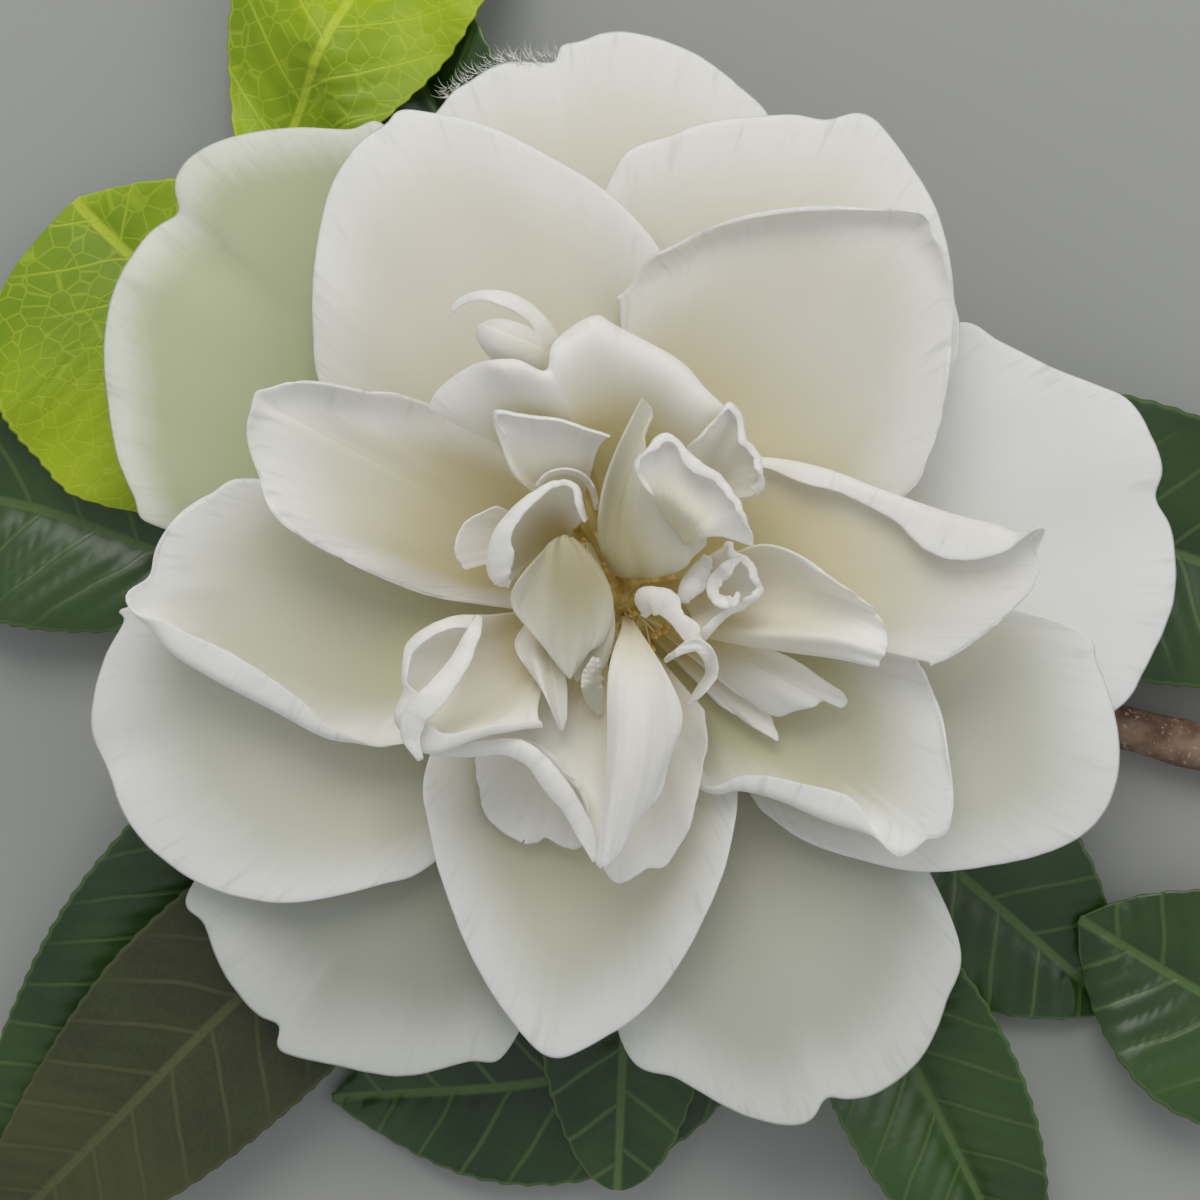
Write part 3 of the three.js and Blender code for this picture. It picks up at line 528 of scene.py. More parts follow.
def sheet(name, grid, thickness, attributes, rim_share=1.0, shares=None):
    """A solid sheet round a grid of middle points, with per-point attributes."""
    rows, columns = grid.shape[:2]
    deselect()
    bpy.ops.mesh.primitive_grid_add(x_subdivisions=rows - 1, y_subdivisions=columns - 1, size=2)
    piece = bpy.context.object
    piece.name = piece.data.name = name
    flat = places_in(piece.data)
    row = np.rint((flat[:, 0] + 1) / 2 * (rows - 1)).astype(int)
    column = np.rint((flat[:, 1] + 1) / 2 * (columns - 1)).astype(int)
    piece.data.vertices.foreach_set("co", to_frame(grid[row, column]).ravel())
    for key, values in attributes.items():
        store(piece.data, key, values[row, column])
    if shares is None:
        shares = np.linspace(1, rim_share, columns) + np.zeros((rows, 1))
    steps = np.clip(np.rint(shares[row, column] * WEIGHT_STEPS), 1, WEIGHT_STEPS).astype(int)
    group = piece.vertex_groups.new(name="thickness")
    for step in np.unique(steps):
        group.add(np.flatnonzero(steps == step).tolist(), step / WEIGHT_STEPS, "REPLACE")
    solidify = piece.modifiers.new("thickness", "SOLIDIFY")
    solidify.thickness = thickness * MM
    solidify.offset = 0
    solidify.vertex_group = "thickness"
    smooth = piece.modifiers.new("rounding", "SUBSURF")
    smooth.levels = smooth.render_levels = 1
    apply_modifiers(piece)
    piece.vertex_groups.clear()
    normals = np.zeros(len(piece.data.vertices) * 3)
    piece.data.vertex_normals.foreach_get("vector", normals)
    store(piece.data, "upper", ease(-0.25, 0.25, normals[2::3]))
    bpy.ops.object.shade_smooth()
    return piece


def copies_of(piece, count):
    """A piece and its copies, count in all, each with a mesh of its own."""
    pieces = [piece]
    for _ in range(count - 1):
        copy = piece.copy()
        copy.data = piece.data.copy()
        bpy.context.collection.objects.link(copy)
        pieces.append(copy)
    return pieces


def joined(pieces, name):
    """Several pieces made one mesh, which keeps the first one's place."""
    deselect()
    for piece in pieces:
        piece.select_set(True)
    bpy.context.view_layer.objects.active = pieces[0]
    bpy.ops.object.join()
    pieces[0].name = pieces[0].data.name = name
    return pieces[0]


def finish_piece(piece, material, slot, *nodes):
    """Gives a piece its material and its body, and hides the solids that it stands for. The slot is not used.
    """
    piece.data.materials.clear()
    piece.data.materials.append(material)
    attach(piece, "root")
    if nodes:
        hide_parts(*nodes)
    return piece


# %% [markdown]
# The twig and its side shoots lie on the ground under the bloom. One height map starts at the floor and
# collects them, so that each leaf drapes over the twig and over older leaves. The twig's cut end shows
# pale wood, which is a short disc of its own.

# %% Twig and shoots
STEM = {"cut_reach": 104, "direction": -15}
STEM_RADII = (2.7, 1.9)
SHOOT_RADII = (1.5, 1.0)
ROD_SIDES = 20
SMOOTH_BELOW = math.radians(50)
stem_bearing = math.radians(STEM["direction"])


def stem_at(reach, height):
    return [reach * math.cos(stem_bearing), reach * math.sin(stem_bearing), height]


def seen(*points):
    return from_view(np.array(points, float))


LIMBS = {
    "stem": {
        "path": [stem_at(STEM["cut_reach"], 2.7), stem_at(70, 2.6), stem_at(30, 2.5),
                 stem_at(9, 2.6), stem_at(3, 3.6), stem_at(0.4, 5.6), stem_at(0, 8)],
        "radii": STEM_RADII, "rings": 110,
    },
    "shoot_left": {
        "path": seen([2.6, 1.5, 2.4], [-4, 4, 2.2], [-18, 0.4, 2], [-28, -1, 2]), "rings": 40,
    },
    "shoot_upper": {
        "path": seen([7.9, 0.45, 2.2], [7, 8, 2], [-6, 20, 2], [-21, 28, 2], [-32, 32, 2]), "rings": 56,
    },
    "shoot_lower": {
        "path": seen([13.2, -6.8, 2.2], [13.2, -12, 2], [14.5, -20, 2], [19, -31, 2]), "rings": 36,
    },
    "shoot_right": {"path": seen([83.8, -25.6, 2], [83, -33, 2], [81.2, -42, 2]), "rings": 24},
}


def ring_axes(centres):
    """Two unit directions square to a line at each of its points, the second one as upright as can be."""
    forward = np.gradient(centres, axis=0)
    forward /= np.linalg.norm(forward, axis=1, keepdims=True)
    sideways = np.column_stack([-forward[:, 1], forward[:, 0], np.zeros(len(forward))])
    lengths = np.linalg.norm(sideways, axis=1, keepdims=True)
    sideways = np.where(lengths > 0.05, sideways / np.maximum(lengths, 1e-9), [[0, 1, 0]])
    return sideways, np.cross(forward, sideways)


def rod(name, centres, radii, sides=ROD_SIDES):
    """A round bar through the given centres: a disc that is extruded ring by ring, then bent to them."""
    deselect()
    bpy.ops.mesh.primitive_circle_add(vertices=sides, radius=1, fill_type="NGON")
    piece = bpy.context.object
    piece.name = piece.data.name = name
    bpy.ops.object.mode_set(mode="EDIT")
    bpy.ops.mesh.select_all(action="SELECT")
    for _ in range(len(centres) - 1):
        bpy.ops.mesh.extrude_region_move(TRANSFORM_OT_translate={"value": (0, 0, 1)})
    bpy.ops.object.mode_set(mode="OBJECT")
    flat = places_in(piece.data)
    ring = np.rint(flat[:, 2]).astype(int)
    sideways, upright = ring_axes(centres)
    angle = np.arctan2(flat[:, 1], flat[:, 0])
    turn = sideways[ring] * np.cos(angle)[:, None] + upright[ring] * np.sin(angle)[:, None]
    around = np.rint((angle / (2 * math.pi) % 1) * sides).astype(int) % sides
    reach = np.broadcast_to(radii, (sides, len(centres)))[around, ring]
    placed = centres[ring] + turn * reach[:, None]
    piece.data.vertices.foreach_set("co", to_frame(placed).ravel())
    return piece


def limb_radii(seed, rings, foot, tip):
    """The taper of a limb, with swollen rings where leaves sat and a skin that isn't even."""
    waves = np.random.default_rng(seed)
    t = np.linspace(0, 1, rings + 1)
    radii = foot + (tip - foot) * t
    for place in np.arange(0.12, 0.95, 14 / max(rings, 30)):
        radii = radii * (1 + 0.09 * np.exp(-((t - place) * rings / 2.2) ** 2))
    skin = smoothed(waves.normal(size=(rings + 1, ROD_SIDES)), 5).T
    return radii * (1 + 0.022 * skin)


ground = HeightMap(-CLEARANCE)
for number, (name, limb) in enumerate(LIMBS.items()):
    shares = np.linspace(0, 1, limb["rings"] + 1)
    centres = by_length(limb_line(limb["path"]), shares)
    radii = limb_radii(number, limb["rings"], *limb.get("radii", SHOOT_RADII))
    piece = rod("bark_" + name, centres, radii)
    sideways, upright = ring_axes(centres)
    angle = np.linspace(0, 2 * math.pi, 25)[:, None]
    turn = sideways[:, None] * np.cos(angle) + upright[:, None] * np.sin(angle)
    ground.add(centres[:, None] + radii.max(axis=0)[:, None, None] * turn, 0)
    bpy.ops.object.shade_smooth_by_angle(angle=SMOOTH_BELOW)
    finish_piece(piece, TWIG_BARK, "twig_bark", name)

line = by_length(limb_line(LIMBS["stem"]["path"]), [0, 0.01])
outward = (line[0] - line[1]) / np.linalg.norm(line[0] - line[1])
reaches = np.array([-0.6, 0, 0.12, 0.2])
face_radii = STEM_RADII[0] * np.array([0.9, 0.9, 0.89, 0.86])
face = rod("cut_face", (line[0] + outward * reaches[:, None])[::-1], face_radii[::-1], 40)
bpy.ops.object.shade_smooth_by_angle(angle=SMOOTH_BELOW)
face_centre = to_frame(line[0] + outward * reaches[-1])
finish_piece(face, cut_finish(tuple(face_centre), STEM_RADII[0] * MM), "twig_bark")
print("twig and shoots:", len(LIMBS))

# %% [markdown]
# A leaf is a grid along its midrib. It is folded like a shallow gutter, its side veins are pressed in a
# little, and small teeth run round its margin. Thickness is drawn per column: full on the midrib, and
# thin at the margin. In the stalk, the same columns close up into a round bar. A leaf with a left_half
# has the half widths of its left side listed from foot to tip, closer together near the tip. The foot
# stays where it meets its shoot, and the rest of the leaf is free to rise over what it lies on.

# %% Leaves
LEAF_STEPS = {"stalk": 10, "along": 150, "across": 9}
STALK_HALF = 0.95
STALK_THICK = 1.7
TOOTH = {"step": 2.3, "rise": 0.75, "reach": 0.3}
LEAVES = {
    "leaf_low_right": {
        "foot": [14.5, -12], "spine": [[21, -17], [34, -28], [50, -42]],
        "heights": [3.4, 3.4, 3.6, 0.6], "width": 25, "fold": [8, 8],
    },
    "leaf_bottom_pale": {
        "foot": [20.5, -33.5], "spine": [[15, -41], [-4, -48.5], [-28.3, -50.8]],
        "heights": [3.2, 3, 3, 0.5], "width": 23, "fold": [6, 6],
    },
    "leaf_far_right": {
        "foot": [81.3, -42.2], "spine": [[75.5, -46.5], [63, -42.5], [45.8, -32.5]],
        "heights": [3, 3.6, 4.6, 1.2], "width": 26, "fold": [14, 14],
    },
    "leaf_top_small": {
        "foot": [-13.5, 27.5], "spine": [[-15, 33], [-20, 43], [-28, 54.5]],
        "heights": [3.2, 3.4, 4, 2], "width": 21, "fold": [8, 8],
    },
    "leaf_left": {
        "foot": [-31, 0.5], "spine": [[-37, 0.5], [-46.2, 4], [-62, 9], [-82, 8]],
        "heights": [3.2, 3.8, 4.6, 3.4, 0.6], "width": 26, "fold": [12, 12],
    },
    "leaf_corner_back": {
        "foot": [-25, -2.4], "spine": [[-28, -10], [-36, -24], [-49, -43.5], [-66, -62]],
        "heights": [3, 3.2, 3.4, 3.4, 0.6], "width": 26, "fold": [14, 14],
    },
    "leaf_bottom_dark": {
        "foot": [11.4, -14.4], "spine": [[5.5, -17.5], [1.5, -38], [0.2, -60]],
        "heights": [3.6, 4, 6, 5], "width": 20, "fold": [16, 16], "bluntness": 0.5,
    },
    "leaf_bottom_right": {
        "foot": [17, -21], "spine": [[19.5, -26], [30.5, -48.7], [42, -72]],
        "heights": [3.6, 4.2, 5, 0.6], "width": 23, "fold": [32, 32],
    },
    "leaf_top_dark": {
        "foot": [-8.4, 24.4], "spine": [[-11, 31], [-18.1, 48.2], [-30, 72]],
        "heights": [3.4, 4.4, 5.4, 2.5], "width": 19, "fold": [34, 34],
    },
    "leaf_right": {
        "foot": [9.2, 6.2], "spine": [[17, 10.5], [36, 8.5], [57, 3.3], [82, -7]],
        "heights": [3.6, 5, 6.6, 6, 0.6], "width": 30, "fold": [10, 10],
    },
    "leaf_lime_left": {
        "foot": [-29.5, -3.5], "spine": [[-33, 4], [-38, 17], [-45, 29.5], [-54, 39]],
        "heights": [3.4, 6, 8, 7.6, 6.6], "width": 37, "fold": [6, 6],
        "left_half": [1, 17, 21, 21.5, 20, 16.5, 10.5, 0.5],
        "look": LEAF_LIME,
    },
    "leaf_corner_front": {
        "foot": [-19.8, -1.6], "spine": [[-21.5, -10], [-29, -31], [-43, -46], [-66, -69]],
        "heights": [3.4, 5, 8, 8, 4], "width": 25, "fold": [10, 10],
        "look": LEAF_UNDERSIDE,
    },
    "leaf_lime_top": {
        "foot": [-33.5, 34.5], "spine": [[-34.5, 39], [-30, 50], [-10, 86]],
        "heights": [3.4, 4.3, 4.6, 0.6], "width": 27, "fold": [5, 20],
        "look": LEAF_LIME,
    },
}


def leaf_grid(leaf, seed):
    """Middle points of a leaf, its thickness, and what its finish reads."""
    knots = seen(*[[*place, z] for place, z in zip([leaf["foot"], *leaf["spine"]], leaf["heights"])])
    dense = limb_line(knots)
    total = np.linalg.norm(np.diff(dense, axis=0), axis=1).sum()
    blade_start = np.linalg.norm(knots[1] - knots[0]) / total
    stalk = np.linspace(0, blade_start, LEAF_STEPS["stalk"], endpoint=False)
    shares = np.concatenate([stalk, np.linspace(blade_start, 1, LEAF_STEPS["along"] + 1)])
    spine = by_length(dense, shares)
    tangent = np.gradient(spine, axis=0)
    left = np.column_stack([-tangent[:, 1], tangent[:, 0], np.zeros(len(spine))])
    left /= np.linalg.norm(left, axis=1, keepdims=True)
    blade = np.clip((shares - blade_start) / (1 - blade_start), 0, 1)
    bulge = np.sin(math.pi * np.minimum(blade, 0.9995) ** 0.92) ** leaf.get("bluntness", 0.8)
    waves = np.random.default_rng(seed)
    length = total * (1 - blade_start)
    c = np.linspace(-1, 1, 2 * LEAF_STEPS["across"] + 1)
    c = np.sign(c) * np.abs(c) ** 0.9
    bar_half = STALK_HALF * (1 - 0.45 * blade)
    half = np.maximum(leaf["width"] / 2 * bulge, bar_half)[:, None] + 0 * c
    if "left_half" in leaf:
        drawn = along(leaf["left_half"], 1 - np.sqrt(1 - blade))
        half = np.where(c > 0, np.maximum(drawn, bar_half)[:, None], half)
    in_blade = ease(0, 0.06, blade)[:, None]
    gutter = np.where(c > 0, *np.radians(leaf["fold"])) * in_blade
    across = half * c
    down = blade[:, None] * length
    teeth = (down / TOOTH["step"]) % 1
    teeth = np.where(teeth < TOOTH["rise"], teeth / TOOTH["rise"], (1 - teeth) / (1 - TOOTH["rise"]))
    teeth = TOOTH["reach"] * teeth * np.abs(c) ** 12 * np.sign(c)
    out = across * np.cos(gutter) + teeth * in_blade * ease(1, 0.93, blade)[:, None]
    start = down - np.abs(across) * VEINS["slant"] - across**2 * VEINS["curve"]
    phase = start / VEINS["spacing"] + VEINS["shift"] * np.sign(c) + 40
    veins = np.abs(phase % 1 - 0.5) * 2
    pillow = 0.32 * np.sin(np.pi * np.clip(1 - veins, 0, 1))
    pillow = pillow * ease(0, 0.25, np.abs(c)) * ease(1, 0.7, np.abs(c))
    groove = -0.35 * np.exp(-((across / 0.9) ** 2))
    phase = down / length * 2 * math.pi * 2.2 + waves.random() * 6 + (c > 0) * 2
    wave = np.sin(phase) * 0.7 * np.abs(c) ** 3
    up = np.abs(across) * np.sin(gutter) - 0.06 * half * c**2
    up = up + (pillow + groove + wave) * in_blade * ease(1, 0.9, blade)[:, None]
    grid = spine[:, None] + left[:, None] * out[..., None]
    grid[..., 2] += up
    bar = np.sqrt(np.maximum(1 - c**2, 0.04))
    rib = 0.42 + 0.55 * np.exp(-((across / 0.8) ** 2)) * (1 - 0.7 * blade[:, None]) - 0.12 * np.abs(c) ** 4
    thick = STALK_THICK * bar * (1 - in_blade) + rib * in_blade
    looks = {
        "vein": np.stack([across * in_blade, down + 0 * across, np.full_like(across, 3.7 * seed)], axis=-1),
        "margin": (1 - np.abs(c)) * half,
        "blade": in_blade + 0 * across,
    }
    return grid, thick, looks


for number, (name, leaf) in enumerate(LEAVES.items()):
    grid, thick, looks = leaf_grid(leaf, number + 60)
    from_foot = np.linalg.norm(grid - grid[:1, LEAF_STEPS["across"]][:, None], axis=-1)
    lay_over(ground, grid, 0.4, loose=ease(1, 12, from_foot), pinned=True)
    piece = sheet("blade_" + name, grid, STALK_THICK, looks, shares=thick / STALK_THICK)
    slot = "leaf_lime" if leaf.get("look") is LEAF_LIME else "leaf_green"
    finish_piece(piece, leaf.get("look", LEAF_GREEN), slot, name)
print("leaves:", len(LEAVES))

# %% [markdown]
# A petal is a fan: straight lines run from its narrow foot to even steps along its rim. The rise gives
# its height from foot to tip, the cup lifts its sides, and the roll turns its margin back on itself in
# an arc, in degrees along the rim, with a flat lip beyond it. Small petals that no fan can describe are
# drawn as a net of lines, as a narrow band, or as a scroll. Ripples, creases and bites are added last.

# %% The rule of a petal
ROLL = {"width": 3.2, "least": 6, "full": 45}
LARGE = {
    "foot": {"radius": 4.6, "half_width": 1.9}, "steps": {"around": 96, "along": 13, "roll": 6},
    "thickness": 0.55, "slot": "petal_white",
}
SMALL = {
    "foot": {"radius": 3.7, "half_width": 1.0}, "steps": {"around": 64, "along": 10, "roll": 6},
    "thickness": 0.45, "slot": "petaloid_cream",
}
THIN = {**SMALL, "thickness": 0.4}


def petal_grid(petal, foot, steps):
    """Points of the middle of a petal: one line from foot to rim for each step along the rim."""
    rim = np.array(petal["rim"], float)
    mean = rim.mean(axis=0)
    bearing = math.radians(petal["bearing"]) if "bearing" in petal else math.atan2(mean[1], mean[0])
    outward = np.array([math.cos(bearing), math.sin(bearing)])
    leftward = np.array([-outward[1], outward[0]])
    foot_centre = outward * foot["radius"]
    s = np.linspace(0, 1, steps["around"] + 1)
    sides = (2 * s - 1)[:, None] * foot["half_width"]
    start = foot_centre + leftward * sides
    edge = evenly(rim, steps["around"] + 1)
    reach = ((edge - foot_centre) @ outward).max()
    half_width = max(np.abs((edge - foot_centre) @ leftward).max(), 1)

    def height(points):
        forward = np.clip((points - foot_centre) @ outward / reach, 0, 1)
        aside = (points - foot_centre) @ leftward / half_width
        return along(petal["rise"], forward) + petal.get("cup", 0) * aside**2

    if "roll" not in petal:
        shares = 1 - (1 - np.linspace(0, 1, steps["along"] + 1)) ** 1.25
        places = start[:, None] + (edge - start)[:, None] * shares[None, :, None]
        return np.concatenate([places, height(places)[..., None]], axis=-1)
    tangent = smoothed(np.gradient(edge, axis=0), 7)
    inward = np.column_stack([-tangent[:, 1], tangent[:, 0]])
    inward /= np.linalg.norm(inward, axis=1, keepdims=True)
    degrees = np.maximum(along(petal["roll"], s), ROLL["least"])
    curl = np.radians(degrees)
    wanted = petal.get("roll_width", ROLL["width"]) * np.minimum(degrees / ROLL["full"], 1)
    strip = np.minimum(wanted, 0.3 * np.linalg.norm(edge - start, axis=1))
    radius = strip / curl
    inset = smoothed((radius * np.sin(np.minimum(curl, math.pi / 2)))[:, None], 9)[:, 0]
    bend = edge + inward * inset[:, None]
    lines = []
    for share in np.linspace(0, 1, steps["along"] + 1):
        place = start + (bend - start) * share
        lines.append(np.column_stack([place, height(place)]))
    level = height(bend)
    slope = (height(edge) - level) / np.maximum(inset, 0.1)
    for j in range(1, steps["roll"] + 1):
        angle = curl * j / steps["roll"]
        outwards = radius * np.sin(angle)
        climb = radius * (1 - np.cos(angle)) + slope * outwards
        lines.append(np.column_stack([bend - inward * outwards[:, None], level + climb]))
    lip = along(petal.get("lip", [0, 0]), s)
    for share in (0.35, 0.7, 1):
        back = outwards + lip * share * np.cos(curl)
        lines.append(np.column_stack([bend - inward * back[:, None], level + climb + 0.12 * lip * share]))
    return np.stack(lines, axis=1)


def band_grid(petal, steps):
    """Points of a narrow band along its own line. Each knot is x, y, height and half width."""
    line = by_length(limb_line(petal["band"]), np.linspace(0, 1, steps["around"] + 1))
    tangent = np.gradient(line[:, :3], axis=0)
    left = np.column_stack([-tangent[:, 1], tangent[:, 0], np.zeros(len(line))])
    left /= np.linalg.norm(left, axis=1, keepdims=True)
    lean = math.radians(petal.get("lean", 0))
    across = left * math.cos(lean) + np.array([0, 0, 1]) * math.sin(lean)
    places = np.linspace(-1, 1, steps["along"] + 1)
    arched = 0.35 * line[:, 3:] * (1 - places**2)
    grid = line[:, None, :3] + across[:, None] * (line[:, 3:] * places)[..., None]
    grid[..., 2] += arched * math.cos(lean)
    return grid


def net_grid(petal, steps):
    """Points of a petal drawn as a net: lines from foot to rim, listed from its right side to its left."""
    lines = []
    for knots in np.array(petal["net"], float):
        claw = np.append(knots[0, :2] / max(np.linalg.norm(knots[0, :2]), 0.1) * 2.6, 25)
        full = limb_line(np.vstack([claw, knots]))
        lines.append(by_length(full, np.linspace(0, 1, steps["along"] + steps["roll"] + 5)))
    return along(np.array(lines), np.linspace(0, 1, steps["around"] + 1))


def scroll_grid(petal, steps):
    """Points of a petal rolled up round its own line, like paper. Each knot is x, y, height and radius."""
    line = by_length(limb_line(petal["scroll"]), np.linspace(0, 1, steps["along"] + 9))
    forward = np.gradient(line[:, :3], axis=0)
    forward /= np.linalg.norm(forward, axis=1, keepdims=True)
    side = np.cross(forward, [0.3, 0.9, 0.1])
    side /= np.linalg.norm(side, axis=1, keepdims=True)
    other = np.cross(forward, side)
    t = np.linspace(0, 1, steps["around"] + 1)
    angle = math.radians(petal["from"]) + 2 * math.pi * petal["turns"] * t
    radius = (0.72 + 0.28 * t)[:, None] * line[None, :, 3]
    turn = np.cos(angle)[:, None, None] * side + np.sin(angle)[:, None, None] * other
    return line[None, :, :3] + radius[..., None] * turn


def roughened(grid, petal, seed):
    """Adds a slow ripple, creases and small ragged bites to the rim of a petal."""
    s = np.linspace(0, 1, grid.shape[0])
    shares = np.linspace(0, 1, grid.shape[1])
    waves = np.random.default_rng(seed)
    ripple = np.zeros(len(s))
    for turns in range(2, 9):
        ripple += waves.normal() / turns**0.7 * np.sin(2 * np.pi * (turns * s + waves.random()))
    grid[..., 2] += petal.get("ripple", 0.35) * ripple[:, None] * shares**2.5
    for place, depth, spread, begin in petal.get("creases", ()):
        groove = np.exp(-((s - place) / spread) ** 2)
        grid[..., 2] -= depth * groove[:, None] * ease(begin, 1, shares)
    around = np.linalg.norm(np.diff(grid[:, -1], axis=0), axis=-1).sum()
    width = max(5, int(len(s) * 2.2 / around)) // 2 * 2 + 1
    slow = smoothed(waves.normal(size=(len(s), 1)), width)[:, 0]
    bites = 0.7 * math.sqrt(width) * slow + 0.8 * ripple
    bites *= ease(0, 0.08, s) * ease(1, 0.92, s)
    outward = grid[:, -1] - grid[:, -2]
    outward /= np.maximum(np.linalg.norm(outward, axis=1, keepdims=True), 1e-6)
    push = petal.get("ragged", 0.1) * bites[:, None] * ease(0.75, 1, shares)
    return grid + outward[:, None] * push[..., None]


def petal_attributes(grid, seed, gold=1.0):
    """What the petal finish reads: the golden olive low in the hollow, partly cream and partly painted shade,
    the distance from the bloom's axis and from the rim, and the grain.
    """
    rows, columns = grid.shape[:2]
    steps = np.linalg.norm(np.diff(grid, axis=1), axis=-1)
    to_rim = np.concatenate([np.cumsum(steps[:, ::-1], axis=1)[:, ::-1], np.zeros((rows, 1))], axis=1)
    around = np.linalg.norm(np.diff(grid[:, -1], axis=0), axis=-1).sum()
    across = np.linspace(0, 1, rows)[:, None] * np.ones(columns) * around / 1.3
    outward = (to_rim[:, :1] - to_rim) / 9
    return {
        # Painted shade and cream low in the hollow near the axis, scaled by gold.
        "deep": gold * ease(38, 29, grid[..., 2]) * ease(16, 6, np.linalg.norm(grid[..., :2], axis=-1)),
        "reach": np.linalg.norm(grid[..., :2], axis=-1) / 55,
        "rim": to_rim,
        "grain": np.stack([across, outward, np.full_like(across, 7.3 * seed)], axis=-1),
    }


# %% [markdown]
# The large petals, from the backmost to the foremost. Their rims are listed from the right side round
# the tip to the left side, with the notches where a petal is nicked or folded at its edge.

